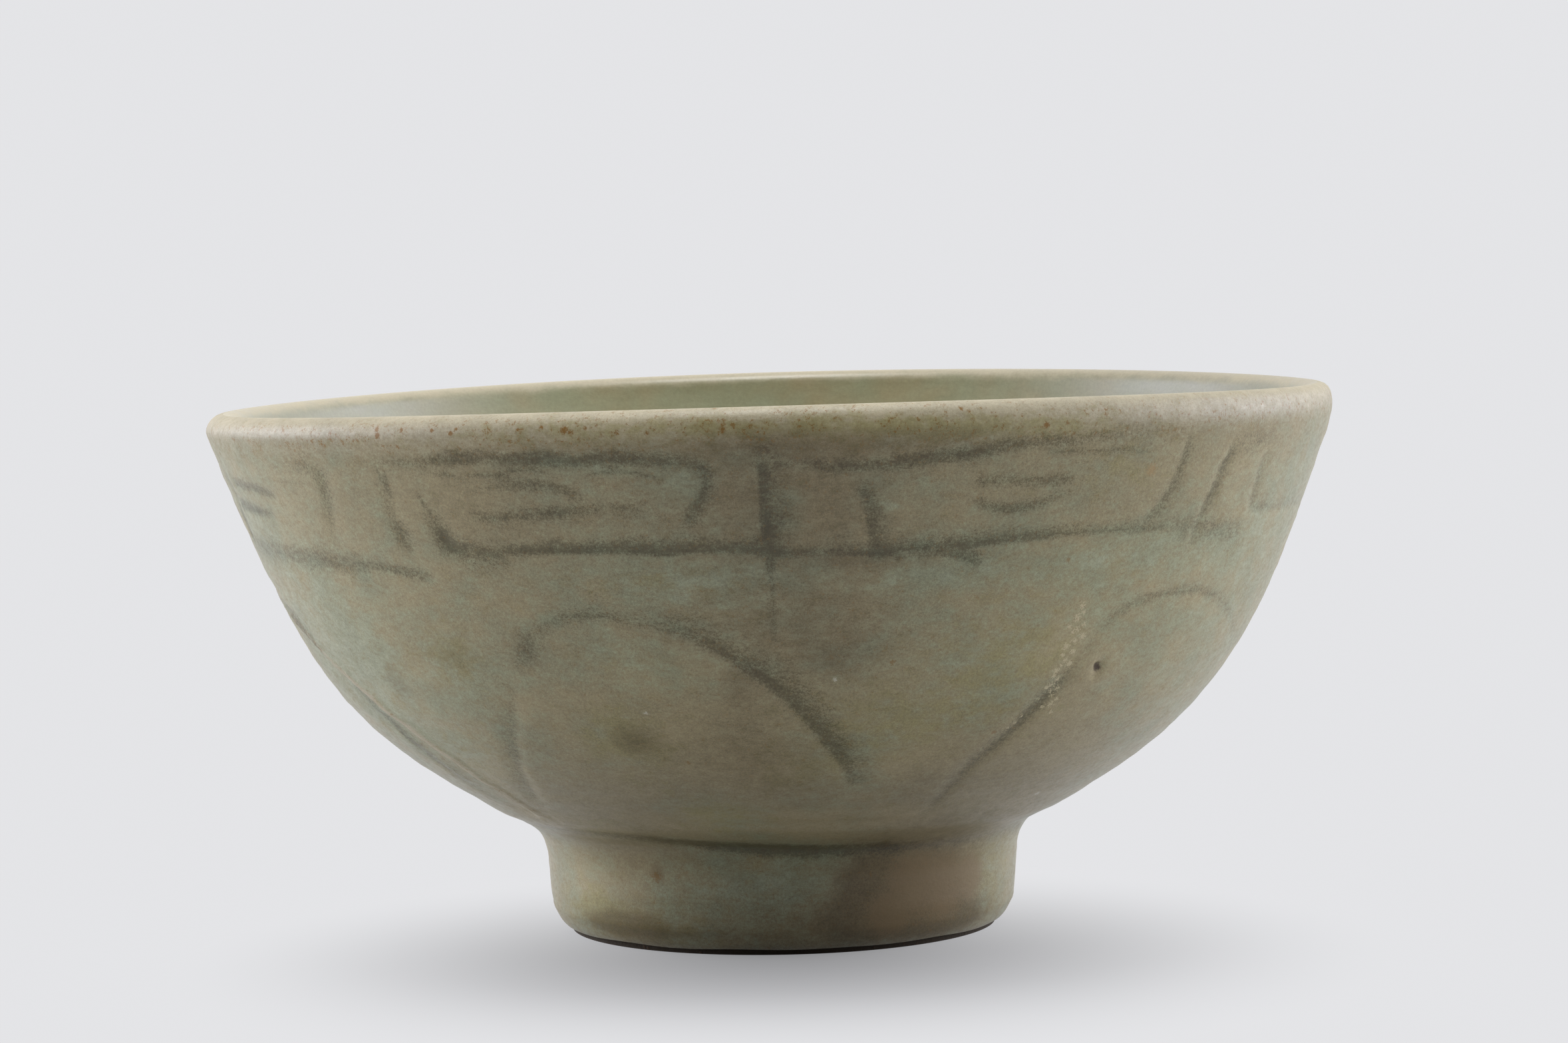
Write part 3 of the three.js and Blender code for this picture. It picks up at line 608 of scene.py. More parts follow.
# Darker patches: partly darker glaze, and partly painted shade below the lip and just above the groove over
# the foot, where the wall turns away from the light
DARK_GLAZE_AND_SHADE_PATCHES = [
    (4, 60, 12, 7, 0.22), (1, 61, 11, 9, 0.3), (3, 46, 11, 8, 0.6), (-27, 58, 13, 7, 0.35),
    (-22, 66.4, 14, 2.4, 0.4), (17, 66.6, 10, 2.2, 0.3), (9, 53.4, 7, 1.6, 0.3), (22, 24, 6, 4, 0.3),
    (2, 25, 8, 5, 0.35), (-4, 37, 3, 4, 0.4), (-12, 44, 7, 3, 0.25), (-18, 31, 4, 2.5, 0.85),
    (-39, 41, 4, 3, 0.5), (-51, 37, 3, 3, 0.5), (-28, 42.5, 4, 3, 0.5), (19, 8, 7, 5, 1.2),
    (14, 5, 8, 3, 0.5), (25, 11, 8, 3, 0.6), (40, 9, 14, 8, 0.9), (-42, 3.2, 16, 2, 1.35),
    (42, 3.2, 16, 2, 1.1), (-5, 29, 9, 5, 0.4), (-38, 12, 8, 3, 0.35), (8, 3.5, 50, 2.2, 0.45),
    (-30.5, 10.6, 2, 1.6, 0.6), (31, 17.6, 12, 1.2, 0.35), (2, 67, 14, 2, 0.3), (-1, 61, 13, 7, 0.2),
    (-24, 17.6, 10, 1.2, 0.2), (4, 67.4, 26, 1.4, 0.2), (6, 41, 5, 3, 0.3), (44, 6, 4, 2, 0.4),
    (140, 26, 5, 3, 0.6), (196, 40, 5, 3, 0.5), (258, 27, 5, 3, 0.5),
]


def patches(spots, turn, height):
    """The sum of soft round patches."""
    total = np.zeros_like(turn)
    for middle, level, turn_reach, height_reach, strength in spots:
        total += strength * bump(0, turn_reach, apart(turn, middle)) * bump(level, height_reach, height)
    return total


# A burst bubble beside a petal's edge
PIN_HOLE = (39.7, 38.1)
PIN_HOLE_RADIUS = 0.85
PIN_HOLE_DEPTH = 0.6
PIN_HOLE_SWELL = 0.1


def pin_hole(turn, distance):
    """How deep the burst bubble is: a pit in a softly swollen edge."""
    middle, level = PIN_HOLE
    across = np.radians(apart(turn, middle)) * outside.at(distance)[..., 0]
    gap = np.hypot(across * 0.8, (distance - outside.down_to(level)) * 1.1)
    pit = 1 - smooth(0.35 * PIN_HOLE_RADIUS, 1.15 * PIN_HOLE_RADIUS, gap)
    return PIN_HOLE_DEPTH * pit - PIN_HOLE_SWELL * bump(2, 1, gap)


# Meshes

SHARP_ANGLE = 50


def new_object(name, data):
    made = bpy.data.objects.new(name, data)
    bpy.context.scene.collection.objects.link(made)
    return made


def numbered(rings, ends_meet):
    """Which places on the rings are kept as points, and the number of the point at every place."""
    number = np.arange(rings.shape[0] * rings.shape[1]).reshape(rings.shape[:2])
    if ends_meet:
        number[-1] = number[0]
    on_axis = np.ptp(rings, axis=1).max(1) < 1e-6
    number[on_axis] = number[on_axis, :1]
    kept, number = np.unique(number, return_inverse=True)
    return kept, number.reshape(rings.shape[:2])


def spin(name, rings, spread, turns, ends_meet=False, **fields):
    """A piece made of rings of points, one point for every turn. A ring on the axis becomes one point. For
    ends_meet, the last ring is the first one again. Spread is how far from the middle each ring lies when
    the piece is laid out flat. A field is kept for the material: values for the first rings, then 0."""
    rings = np.array(rings)
    kept, number = numbered(rings, ends_meet)
    ring, column = np.mgrid[0:rings.shape[0] - 1, 0:rings.shape[1]]
    after = (column + 1) % rings.shape[1]
    face_ring = np.stack([ring, ring + 1, ring + 1, ring], -1).reshape(-1, 4)
    face_column = np.stack([column, column, after, after], -1).reshape(-1, 4)
    corner = number[face_ring, face_column]
    used = np.ones_like(corner, bool)
    used[:, 2] = corner[:, 2] != corner[:, 1]
    used[:, 3] = corner[:, 3] != corner[:, 0]
    faces = [[c for c, keep in zip(*pair) if keep] for pair in zip(corner.tolist(), used.tolist())]
    mesh = bpy.data.meshes.new(name)
    mesh.from_pydata(METRES * rings.reshape(-1, 3)[kept], [], faces)
    mesh.shade_smooth()
    mesh.set_sharp_from_angle(angle=math.radians(SHARP_ANGLE))
    angle = np.radians(np.asarray(turns)[face_column])
    flat = 0.5 + spread[face_ring][..., None] * np.stack([np.sin(angle), -np.cos(angle)], -1)
    mesh.uv_layers.new(name="OFBake").data.foreach_set("uv", flat[used].astype(np.float32).ravel())
    for field, values in fields.items():
        filled = np.zeros(rings.shape[:2])
        filled[:len(values)] = values
        layer = mesh.attributes.new(field, "FLOAT", "POINT")
        layer.data.foreach_set("value", filled.reshape(-1)[kept].astype(np.float32))
    return new_object(name, mesh)


def dress(piece, node, material):
    """Puts a piece in the place of a solid, with its finish."""
    piece.data.materials.append(material)
    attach(piece, "root")
    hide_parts(node)


def uneven_turns():
    """Turns that lie closer together on the side that the picture shows."""
    front = np.linspace(-FRONT_REACH, FRONT_REACH, round(2 * FRONT_REACH / FRONT_STEP) + 1)
    back = np.linspace(FRONT_REACH, 360 - FRONT_REACH, round((360 - 2 * FRONT_REACH) / BACK_STEP) + 1)
    return np.concatenate([front, back[1:-1]])


def even_turns():
    return np.linspace(-180, 180, EVEN_TURNS + 1)[:-1]


def rings_of(outline, turns, distances, offset):
    """Rings along an outline, moved off the solid by offset, a number or a field."""
    turn, distance = np.meshgrid(turns, distances)
    moved = np.broadcast_to(offset, turn.shape)[..., None] * outline.square(distance)
    return turned(turn, outline.at(distance) + moved)


# The narrow first row at the lip's crest, where two coats meet, and coarse rows where a coat lies on clay
CREST_ROWS = [0, 0.05]
OUTSIDE_ON_CLAY = outside.rows((60, 6), (17, 10), (12, 2.5), (4, 4), (None, 2))
INSIDE_ON_CLAY = np.linspace(0, inside.length, 24)

UNEVEN = Waves(5, 10, 5, 30)
TURNING = Waves(7, 14, 3, 2.2)
FINE_TURNING = Waves(8, 16, 4, 1.1)
GLAZE_END = Waves(3, 9, 14, 40)
INNER_RINGS = Waves(21, 8, 2, 7)
TURNED_CLAY = Waves(33, 10, 2, 1.8)

# How far the surface leaves its outline, in millimetres, and where: a height and how far it reaches
UNEVEN_OUTSIDE = 0.1
UNEVEN_INSIDE = 0.13
INNER_RING_DEPTH = 0.07
TURNING_DEPTH = 0.03
FINE_TURNING_DEPTH = 0.012
TURNED_CLAY_DEPTH = 0.06
GLAZE_END_WAVER = 0.2
HIGHEST_RIDGE = 0.12
LIP_FLATNESS = 0.25
LIP_FLAT_PLACE = (69.4, 1.8)
NECK_SWELL = 0.2
NECK_SWELL_PLACE = (17.2, 1.2)
BEVEL_SWELL = 0.16
BEVEL_SWELL_PLACE = (3.3, 0.7)


def lowered_outside(turn, distance, cuts):
    """How far the outside's surface lies off its outline. The lip is flattest towards the right, and the
    glaze is thick over the groove above the foot and where the foot's side turns in."""
    height = outside.at(distance)[..., 1]
    offset = UNEVEN_OUTSIDE * UNEVEN(turn, distance)
    offset += TURNING_DEPTH * TURNING(turn, distance) + FINE_TURNING_DEPTH * FINE_TURNING(turn, distance)
    offset -= LIP_FLATNESS * (1 + np.sin(np.radians(turn))) * bump(*LIP_FLAT_PLACE, height)
    offset += NECK_SWELL * bump(*NECK_SWELL_PLACE, height) + BEVEL_SWELL * bump(*BEVEL_SWELL_PLACE, height)
    offset -= np.maximum(cuts.depth - cuts.ridge, -HIGHEST_RIDGE) + pin_hole(turn, distance)
    return offset * smooth(0, 2.5, distance) * smooth(0, 2.5, outside.length - distance)


def glazed_outside():
    """The coat on the outside, from the lip's crest to above the standing edge, and back up on the clay."""
    turns = uneven_turns()
    rows = outside.rows((68, 0.5), (52, 0.5), (17, 0.95), (12, 0.45), (4, 0.85), (None, 0.5))
    rows = np.concatenate([CREST_ROWS, rows[1:]])
    turn, distance = np.meshgrid(turns, rows)
    height = outside.at(distance)[..., 1]
    cuts = Cuts(turn, distance)
    for style, *points in all_strokes():
        cuts.draw(style, points)
    cuts.draw(NECK_LINE, NECK_GROOVE, taper=False)
    near_end = smooth(5, 0, outside.length - distance)
    wavering = distance - GLAZE_END_WAVER * near_end * (1 - np.clip(GLAZE_END(turn, distance), -1, 1))
    square = outside.square(distance) * lowered_outside(turn, distance, cuts)[..., None]
    shown = turned(turn, outside.at(wavering) + square)
    hidden_rows = OUTSIDE_ON_CLAY[::-1]
    hidden = rings_of(outside, turns, hidden_rows, -OUTER_GLAZE)
    spread = [0.49 - 0.41 * rows / outside.length, 0.07 * hidden_rows / outside.length, [0.0]]
    # The pale band down from the lip is partly thin glaze and partly a painted highlight on the lip
    thin = (1 - smooth(0, 9.5, distance)) * (1 - 0.15 * bump(0, 24, apart(turn, 0)))
    return spin(
        "glazed_outside", np.concatenate([shown, hidden, shown[:1]]), np.concatenate(spread), turns,
        ends_meet=True,
        line=cuts.line,
        pool=cuts.pool,
        # The ridge's share of the pale colour is partly thin glaze and partly a painted highlight on the
        # crest
        thin=np.maximum(thin, 0.2 * bump(3.3, 0.8, height)) + 2.5 * cuts.ridge,
        warm=patches(BROWN_PATCHES, turn, height) - patches(GREEN_PATCHES, turn, height),
        olive=patches(OLIVE_PATCHES, turn, height),
        dim=patches(DARK_GLAZE_AND_SHADE_PATCHES, turn, height),
        pale=patches(PALE_GLAZE_AND_PAINTED_LIGHT_PATCHES, turn, height),
    )


def glazed_inside():
    """The coat on the inside, from the well's middle up to the lip's crest, and back down on the clay."""
    turns = even_turns()
    rows = np.concatenate([CREST_ROWS, np.linspace(0.4, 7, 16), np.linspace(7, inside.length, 92)[1:]])[::-1]
    turn, distance = np.meshgrid(turns, rows)
    radius, height = np.moveaxis(inside.at(distance), -1, 0)
    offset = UNEVEN_INSIDE * UNEVEN(turn, distance + 40) + INNER_RING_DEPTH * INNER_RINGS(turn, distance)
    hold = smooth(0, 3, distance) * smooth(0, 6, inside.length - distance)
    shown = rings_of(inside, turns, rows, hold * offset)
    hidden = rings_of(inside, turns, INSIDE_ON_CLAY, -INNER_GLAZE)
    spread = [0.47 * (1 - rows / inside.length), 0.475 + 0.02 * INSIDE_ON_CLAY / inside.length]
    return spin(
        "glazed_inside", np.concatenate([shown, hidden]), np.concatenate(spread), turns,
        thin=1 - smooth(0, 4.5, distance),
        side=np.sin(np.radians(turn)) * smooth(12, 48, radius),
        pool=1 - smooth(WELL_HEIGHT, WELL_HEIGHT + 9, height),
    )


def bare_clay():
    """The clay under the coats: up the inside, over the lip, down the outside and across the underside."""
    turns = even_turns()
    rows = np.concatenate([np.linspace(0, 5, 11)[:-1], np.linspace(5, underside.length, 66)])
    turn, distance = np.meshgrid(turns, rows)
    hold = smooth(4.8, 8, distance) * smooth(0, 3, underside.length - distance)
    offset = TURNED_CLAY_DEPTH * TURNED_CLAY(turn, distance) - 0.02
    shown = rings_of(underside, turns, rows, hold * offset)
    inner = rings_of(inside, turns, INSIDE_ON_CLAY[::-1], -INNER_GLAZE)
    outer = rings_of(outside, turns, OUTSIDE_ON_CLAY[1:], -OUTER_GLAZE)
    hidden = np.concatenate([inner, outer])
    spread = [np.linspace(0.495, 0.47, len(hidden)), 0.465 * (1 - rows / underside.length)]
    toasted = bump(EDGE_OUTER[0] - 1, 5, underside.at(distance)[..., 0])
    return spin(
        "bare_foot", np.concatenate([hidden, shown]), np.concatenate(spread), turns,
        toasted=np.concatenate([np.zeros(hidden.shape[:2]), toasted]),
        # The outer rim of the standing edge is near black: painted contact shadow on toasted clay
        sooty=np.concatenate([np.ones(hidden.shape[:2]), 1 - smooth(0.4, 1.4, distance)]),
    )


def glazed_base():
    """The patch of glaze in the middle of the base, with an uneven edge: across its face, round its edge and
    back to the middle on the clay."""
    turns = even_turns()
    angle = np.radians(turns)
    waves = 0.35 * np.sin(3 * angle + 1) + 0.25 * np.sin(7 * angle) + 0.15 * np.sin(16 * angle)
    shares = np.array([*np.linspace(0, 1, 5), 1, 0.995, 0.98, 0.955, 0.93, *np.linspace(0.9, 0, 20)])
    drops = np.array([0, 0, 0, 0, 0, 0.12, 0.25, 0.38, 0.47, 0.5] + [BASE_GLAZE] * 20)
    radius = np.outer(shares, BASE_GLAZE_RADIUS - 0.5 + waves)
    rise = RECESS_DOME / (EDGE_INNER[0] - RECESS_TAPER - RECESS_FILLET)
    height = RECESS_HEIGHT + RECESS_DOME - rise * radius - drops[:, None]
    rings = turned(turns, np.stack([radius, height], -1))
    spread = [np.linspace(0.495, 0.485, 5), np.linspace(0.48, 0.46, 5), np.linspace(0.45, 0, 20)]
    edge = np.concatenate([np.zeros(5), np.linspace(1, 0, 5)])[:, None]
    return spin("glazed_base", rings, np.concatenate(spread), turns, thin=edge)


# Materials

GLAZE_IOR = 1.5
SPECK_REACH = 1.4


class Tree:
    """The nodes of a material or the world. A value may be a number, a colour or another node's output."""

    def __init__(self, owner):
        owner.use_nodes = True
        self.nodes = owner.node_tree.nodes
        self.links = owner.node_tree.links

    def put(self, value, socket):
        if isinstance(value, bpy.types.NodeSocket):
            self.links.new(value, socket)
        elif isinstance(value, tuple) and len(value) == 3 and len(socket.default_value) == 4:
            socket.default_value = (*value, 1.0)
        else:
            socket.default_value = value

    def add(self, kind, values=None, output=0, **settings):
        """The output of a new node with some settings, and with values in some of its sockets."""
        node = self.nodes.new("ShaderNode" + kind)
        for name, setting in settings.items():
            setattr(node, name, setting)
        for socket, value in (values or {}).items():
            self.put(value, node.inputs[socket])
        return node.outputs[output]

    def math(self, operation, first, *others):
        """A sum, a product and so on of two or more values."""
        for other in others:
            first = self.add("Math", {0: first, 1: other}, operation=operation)
        return first

    def ramp(self, value, low, high, start=0.0, end=1.0):
        """An even curve from start at low to end at high."""
        values = dict(enumerate((value, low, high, start, end)))
        return self.add("MapRange", values, interpolation_type="SMOOTHSTEP")

    def any_ray(self, *kinds):
        """1 for a ray of light of any of some kinds."""
        path = self.nodes.new("ShaderNodeLightPath")
        return self.math("MAXIMUM", *[path.outputs[kind] for kind in kinds])


class Shader(Tree):
    """A material's nodes, with here as the place on the bowl in millimetres."""

    def __init__(self, name, roughness=0.4, specular=0.5):
        self.material = bpy.data.materials.new(name)
        super().__init__(self.material)
        self.surface = self.nodes["Principled BSDF"]
        self.surface.inputs["Roughness"].default_value = roughness
        self.surface.inputs["IOR"].default_value = GLAZE_IOR
        self.surface.inputs["Specular IOR Level"].default_value = specular
        self.here = self.scaled(self.add("TexCoord", output="Object"), 1 / METRES)

    def scaled(self, value, scale):
        return self.add("VectorMath", {0: value, "Scale": scale}, operation="SCALE")

    def gap(self, first, second):
        return self.add("VectorMath", {0: first, 1: second}, "Value", operation="DISTANCE")

    def times(self, *values):
        return self.math("MULTIPLY", *values)

    def total(self, *values):
        """A sum, in which a pair stands for its product: a value and its weight."""
        products = [self.times(*value) if isinstance(value, tuple) else value for value in values]
        return self.math("ADD", *products)

    def mix(self, share, first, second, way="MIX"):
        return self.add("Mix", {0: share, 6: first, 7: second}, 2, data_type="RGBA", blend_type=way)

    def field(self, name):
        return self.add("Attribute", output="Fac", attribute_name=name)

    def noise(self, size, detail=2.0, rough=0.5, stretch=(1.0, 1.0, 1.0), shift=0.0):
        """Noise from 0 to 1 with features of some size in millimetres. Stretch makes them longer."""
        finer = tuple(1 / (size * s) for s in stretch)
        place = self.add("VectorMath", {0: self.here, 1: finer}, operation="MULTIPLY")
        place = self.add("VectorMath", {0: place, 1: (shift, shift * 0.7, shift * 1.3)}, operation="ADD")
        values = {"Vector": place, "Scale": 1.0, "Detail": detail, "Roughness": rough}
        return self.add("TexNoise", values, "Fac")

    def unrest(self, *args, **kwargs):
        """Noise about 0."""
        return self.total(self.noise(*args, **kwargs), -0.5)

    def near(self, places, torn):
        """1 close to any of some places and 0 beyond their size. A place is a turn, height and size."""
        gaps = []
        for turn, height, size in places:
            gap = self.gap(self.here, tuple(spot(turn, height).tolist()))
            gaps.append(self.math("DIVIDE", gap, SPECK_REACH * size))
        ragged = self.total(self.math("MINIMUM", *gaps), (self.unrest(0.22, detail=2, rough=0.6), torn))
        return self.ramp(ragged, 1.0, 0.45)

    def relief(self, height, depth):
        """Puts a height from 0 to 1 on the surface as fine relief of some depth in millimetres."""
        values = {"Strength": 1.0, "Distance": depth * METRES, "Height": height}
        self.put(self.add("Bump", values, "Normal"), self.surface.inputs["Normal"])

    def colour(self, value):
        self.put(value, self.surface.inputs["Base Color"])

    def roughness(self, value):
        self.put(value, self.surface.inputs["Roughness"])


# Colours of the glaze, as they are in linear light
BROWN_GLAZE = (0.298, 0.250, 0.140)
GREEN_GLAZE = (0.264, 0.270, 0.166)
PALE_GREEN = (0.325, 0.345, 0.245)
OLIVE_GLAZE = (0.292, 0.262, 0.118)
GREY_GLAZE = (0.262, 0.262, 0.205)
POOLED = (0.95, 0.985, 0.985)
LINED = (0.57, 0.565, 0.51)
STIPPLED = (0.74, 0.72, 0.67)
# A darkening for darker glaze and for painted shade
DARK_GLAZE_AND_SHADE = (0.55, 0.50, 0.43)
# The pale buff of thin glaze, which also carries painted highlight on the lip and on the ridged petal's
# crest
THIN_GLAZE = (0.362, 0.322, 0.224)
RUST = (0.235, 0.122, 0.024)
FLECK = (0.58, 0.51, 0.32)
# The white of the painted glints
GLINT_WHITE = (0.62, 0.60, 0.50)
PIN_BROWN = (0.05, 0.025, 0.010)
ORANGE = (0.42, 0.22, 0.06)
BURNT_GLAZE = (0.240, 0.168, 0.080)
WELL_TINT = (0.74, 0.80, 0.80)
BASE_GREEN = (0.20, 0.215, 0.155)
BASE_BROWN = (0.255, 0.245, 0.165)
BASE_EDGE = (0.30, 0.21, 0.12)

# Colours of the bare clay
BUFF_CLAY = (0.37, 0.255, 0.165)
TOASTED_CLAY = (0.34, 0.145, 0.06)
# Near black where the standing edge meets the floor: toasted clay and painted contact shadow
DARK_EDGE_CLAY_AND_SHADOW = (0.05, 0.038, 0.025)
SAND = (0.10, 0.055, 0.03)

# Specks and painted glints: turn, height and size in millimetres. The flecks run down beside the right
# petal.
RIM_RUST = [
    (-39.5, 69.9, 0.3), (-39.4, 69.2, 0.4), (-36.4, 69.8, 0.25), (-32.8, 69.7, 0.25), (-30.7, 69.3, 0.3),
    (-30.1, 69.8, 0.2), (-23.6, 69.6, 0.25), (-21.2, 69.8, 0.3), (-19, 69.4, 0.5), (-18.4, 69.1, 0.4),
    (-17, 69.6, 0.3), (-16.4, 69.6, 0.25), (-15.9, 69.8, 0.25), (-14.7, 69.5, 0.2), (-14, 68.9, 0.35),
    (-11.2, 68.8, 0.35), (-10.8, 69.4, 0.3), (-9, 70, 0.25), (-8.4, 68.7, 0.25), (-4.2, 69.5, 0.4),
    (-4.3, 68.9, 0.45), (-3.4, 69.8, 0.2), (-1.6, 70, 0.25), (-1.8, 69.3, 0.4), (-1.2, 69.1, 0.3),
    (-1.1, 68.5, 0.3), (-0.3, 68.9, 0.25), (0.5, 69.5, 0.3), (1.1, 69.4, 0.25), (2.6, 70, 0.25),
    (6.5, 69.8, 0.3), (8, 70.2, 0.2), (13.3, 69.9, 0.25), (11.4, 68.1, 0.2), (17.8, 70.6, 0.3),
    (18.5, 70.3, 0.3), (18.7, 69.4, 0.3), (20.7, 70.1, 0.25), (24.3, 70, 0.25), (28, 69.7, 0.3),
    (28.3, 69.4, 0.25), (26.2, 68.3, 0.4), (31.9, 69.4, 0.3), (32.5, 69.8, 0.3), (36.9, 68.8, 0.2),
    (39.5, 70.4, 0.25), (43.6, 69.7, 0.2), (46.8, 70, 0.3), (47.7, 69.5, 0.25), (50.4, 68.5, 0.25),
]
FLECKS = [
    (34.4, 46.2, 0.35), (34.2, 44.8, 0.4), (35.3, 43.9, 0.25), (33.4, 43.7, 0.3), (35.6, 42.4, 0.35),
    (33.7, 41.2, 0.4), (35, 40.6, 0.3), (33.6, 40.2, 0.25), (35.1, 38.9, 0.35), (33.5, 38.2, 0.35),
    (33.4, 37.6, 0.25), (33.6, 36.3, 0.4), (33.1, 36, 0.25), (34.7, 35.8, 0.3), (35.2, 34.4, 0.25),
    (34.7, 33.8, 0.35), (35.3, 32.7, 0.25), (33.7, 33.5, 0.25), (34.9, 45.4, 0.25), (34.1, 43, 0.25),
    (34.7, 41.8, 0.3), (34.3, 39.5, 0.25), (34.2, 37, 0.3), (34.2, 34.9, 0.25), (33.9, 35.4, 0.3),
    (34.6, 43.3, 0.3), (33.9, 38.8, 0.2), (32.6, 34.6, 0.2), (30.6, 31.6, 0.2), (30, 30.9, 0.2),
    (31.2, 32.3, 0.2),
]
# Pale dots that are painted glints, small painted highlights
PAINTED_GLINTS = [(-15.7, 34.6, 0.25), (6.4, 38.6, 0.25), (48.6, 20.2, 0.4)]
BURNT_SPOTS = [(33, 8.5, 4.5), (41, 8, 4.4), (26, 5, 3.1), (50, 8.5, 3)]
BROWN_DOTS = [(12.7, 40.5, 0.3), (28, 30.5, 0.3), (-12, 28, 0.25), (31.2, 52, 0.25), (-30.9, 10.2, 0.6)]
ORANGE_DOTS = [(39.4, 62.5, 0.7)]
PIN_HOLE_STAIN = [(*PIN_HOLE, 0.6)]

# Specks and painted glints in the order that they lie on each other: their places, their colour, how torn
# their edges are and how much they cover
SPECKS = [
    (BURNT_SPOTS, BURNT_GLAZE, 1.0, 0.75),
    (RIM_RUST, RUST, 1.3, 1.0),
    (FLECKS, FLECK, 5.0, 0.75),
    (PAINTED_GLINTS, GLINT_WHITE, 3.0, 0.6),
    (BROWN_DOTS, RUST, 3.0, 0.6),
    (PIN_HOLE_STAIN, PIN_BROWN, 0.7, 0.95),
    (ORANGE_DOTS, ORANGE, 3.0, 0.35),
]


def outer_celadon():
    """Grey-green glaze, cloudy with brown and pale green, dark where it pools and buff where it is thin."""
    shader = Shader("outer_celadon")
    cloud = shader.unrest(8, detail=4, rough=0.6, stretch=(1, 1, 0.7))
    patch = shader.unrest(2.6, detail=3, rough=0.6, stretch=(1.2, 1.2, 0.8), shift=21)
    streak = shader.unrest(0.9, detail=3, rough=0.65, stretch=(1.4, 1.4, 0.7), shift=5)
    grain = shader.unrest(0.34, detail=2, rough=0.7, shift=9)
    fine = shader.unrest(0.14, detail=1, shift=13)
    warm, thin = shader.field("warm"), shader.field("thin")

    strength = shader.total(1.0, (patch, 0.5), (streak, 0.65), (grain, 0.4), (fine, 0.3))
    line = shader.times(shader.field("line"), strength)
    warmth = shader.total((warm, 0.7), (cloud, 2.2), (patch, 1.8), (streak, 1.5), (grain, 1.4), (fine, 0.8))
    milky = shader.total((warm, -1.0), (patch, -3.0), (streak, -0.8))
    # Buff of thin glaze, partly painted highlight on the lip and on the ridge's crest
    buff = shader.total(thin, (streak, -0.5), (grain, -0.3))
    olive = shader.total(shader.field("olive"), (patch, 2.2), (streak, 1.2))
    # Darker glaze, and painted shade below the lip and above the groove over the foot
    dim = shader.total(shader.field("dim"), (patch, 0.6), (streak, 0.3))
    soft = shader.total(line, (streak, 0.18), (grain, 0.3))
    stipple = shader.total(line, (grain, 0.8), (fine, 0.6))
    colour = GREEN_GLAZE
    for amount, reach, paint, way in (
        (warmth, (-1.05, 0.45), BROWN_GLAZE, "MIX"),
        (milky, (0.6, 1.7, 0, 0.45), PALE_GREEN, "MIX"),
        (buff, (0.1, 1.0), THIN_GLAZE, "MIX"),
        (olive, (0.1, 1.1, 0, 0.8), OLIVE_GLAZE, "MIX"),
        (dim, (0.1, 1.1), DARK_GLAZE_AND_SHADE, "MULTIPLY"),
        (shader.field("pool"), (0.05, 0.8), POOLED, "MULTIPLY"),
        (soft, (0.0, 1.0), LINED, "MULTIPLY"),
        (stipple, (0.25, 0.8), STIPPLED, "MULTIPLY"),
    ):
        colour = shader.mix(shader.ramp(amount, *reach), colour, paint, way)

    grains = shader.total((grain, -0.8), (fine, -0.75), (streak, -0.45))
    calm = shader.total(1.0, (thin, -0.5))
    # The pale field lifts the colour: paler glaze, and painted light on the sides, the front of the lip and
    # above the groove
    mottle = shader.total(1.0, (grains, calm), (patch, -0.25), (cloud, 0.45), (shader.field("pale"), 0.14))
    colour = shader.scaled(colour, mottle)
    speck = shader.total(shader.noise(0.5, detail=2, rough=0.7, shift=31), (patch, 0.15))
    colour = shader.mix(shader.ramp(speck, 0.60, 0.72, 0, 0.35), colour, RUST)
    rim = shader.times(shader.ramp(thin, 0.05, 0.5), shader.ramp(thin, 1.0, 0.8))
    clusters = shader.total(shader.noise(0.6, detail=3, rough=0.75, shift=41), (patch, 0.3))
    colour = shader.mix(shader.times(rim, shader.ramp(clusters, 0.57, 0.68), 0.8), colour, RUST)
    for places, paint, torn, cover in SPECKS:
        colour = shader.mix(shader.times(shader.near(places, torn), cover), colour, paint)

    shader.colour(colour)
    matt = shader.total(streak, (line, -0.15), (thin, 0.6))
    shader.roughness(shader.ramp(matt, -0.3, 0.9, 0.30, 0.62))
    shader.relief(shader.total((grain, 0.6), (streak, 1.2)), 0.02)
    return shader.material


def inner_celadon():
    """The same glaze on the inside, greener where it pools in the well, with painted shade that darkens the
    right side of the wall.
    """
    shader = Shader("inner_celadon")
    cloud = shader.noise(10, detail=3, rough=0.55)
    streak = shader.unrest(2.4, detail=3, rough=0.6, stretch=(1.4, 1.4, 0.5), shift=3)
    grain = shader.unrest(0.45, detail=2, rough=0.65, shift=8)
    side = shader.field("side")
    thin = shader.total(shader.field("thin"), (streak, 0.6))
    colour = shader.mix(shader.ramp(cloud, 0.3, 0.8), GREEN_GLAZE, BROWN_GLAZE)
    colour = shader.mix(shader.ramp(shader.times(side, side), 0.1, 0.8, 0, 0.8), colour, GREY_GLAZE)
    colour = shader.mix(shader.times(shader.field("pool"), 0.7), colour, WELL_TINT, "MULTIPLY")
    colour = shader.mix(shader.ramp(thin, 0.2, 0.85), colour, THIN_GLAZE)
    # Painted shade: darker towards the right side of the inside wall
    shade = shader.ramp(side, 0.1, 0.9, 0.03, -0.25)
    shader.colour(shader.scaled(colour, shader.total(1.14, (grain, 0.35), (streak, 0.25), shade)))
    shader.roughness(shader.ramp(streak, -0.3, 0.3, 0.32, 0.45))
    shader.relief(shader.total((grain, 0.6), (streak, 1.4)), 0.02)
    return shader.material


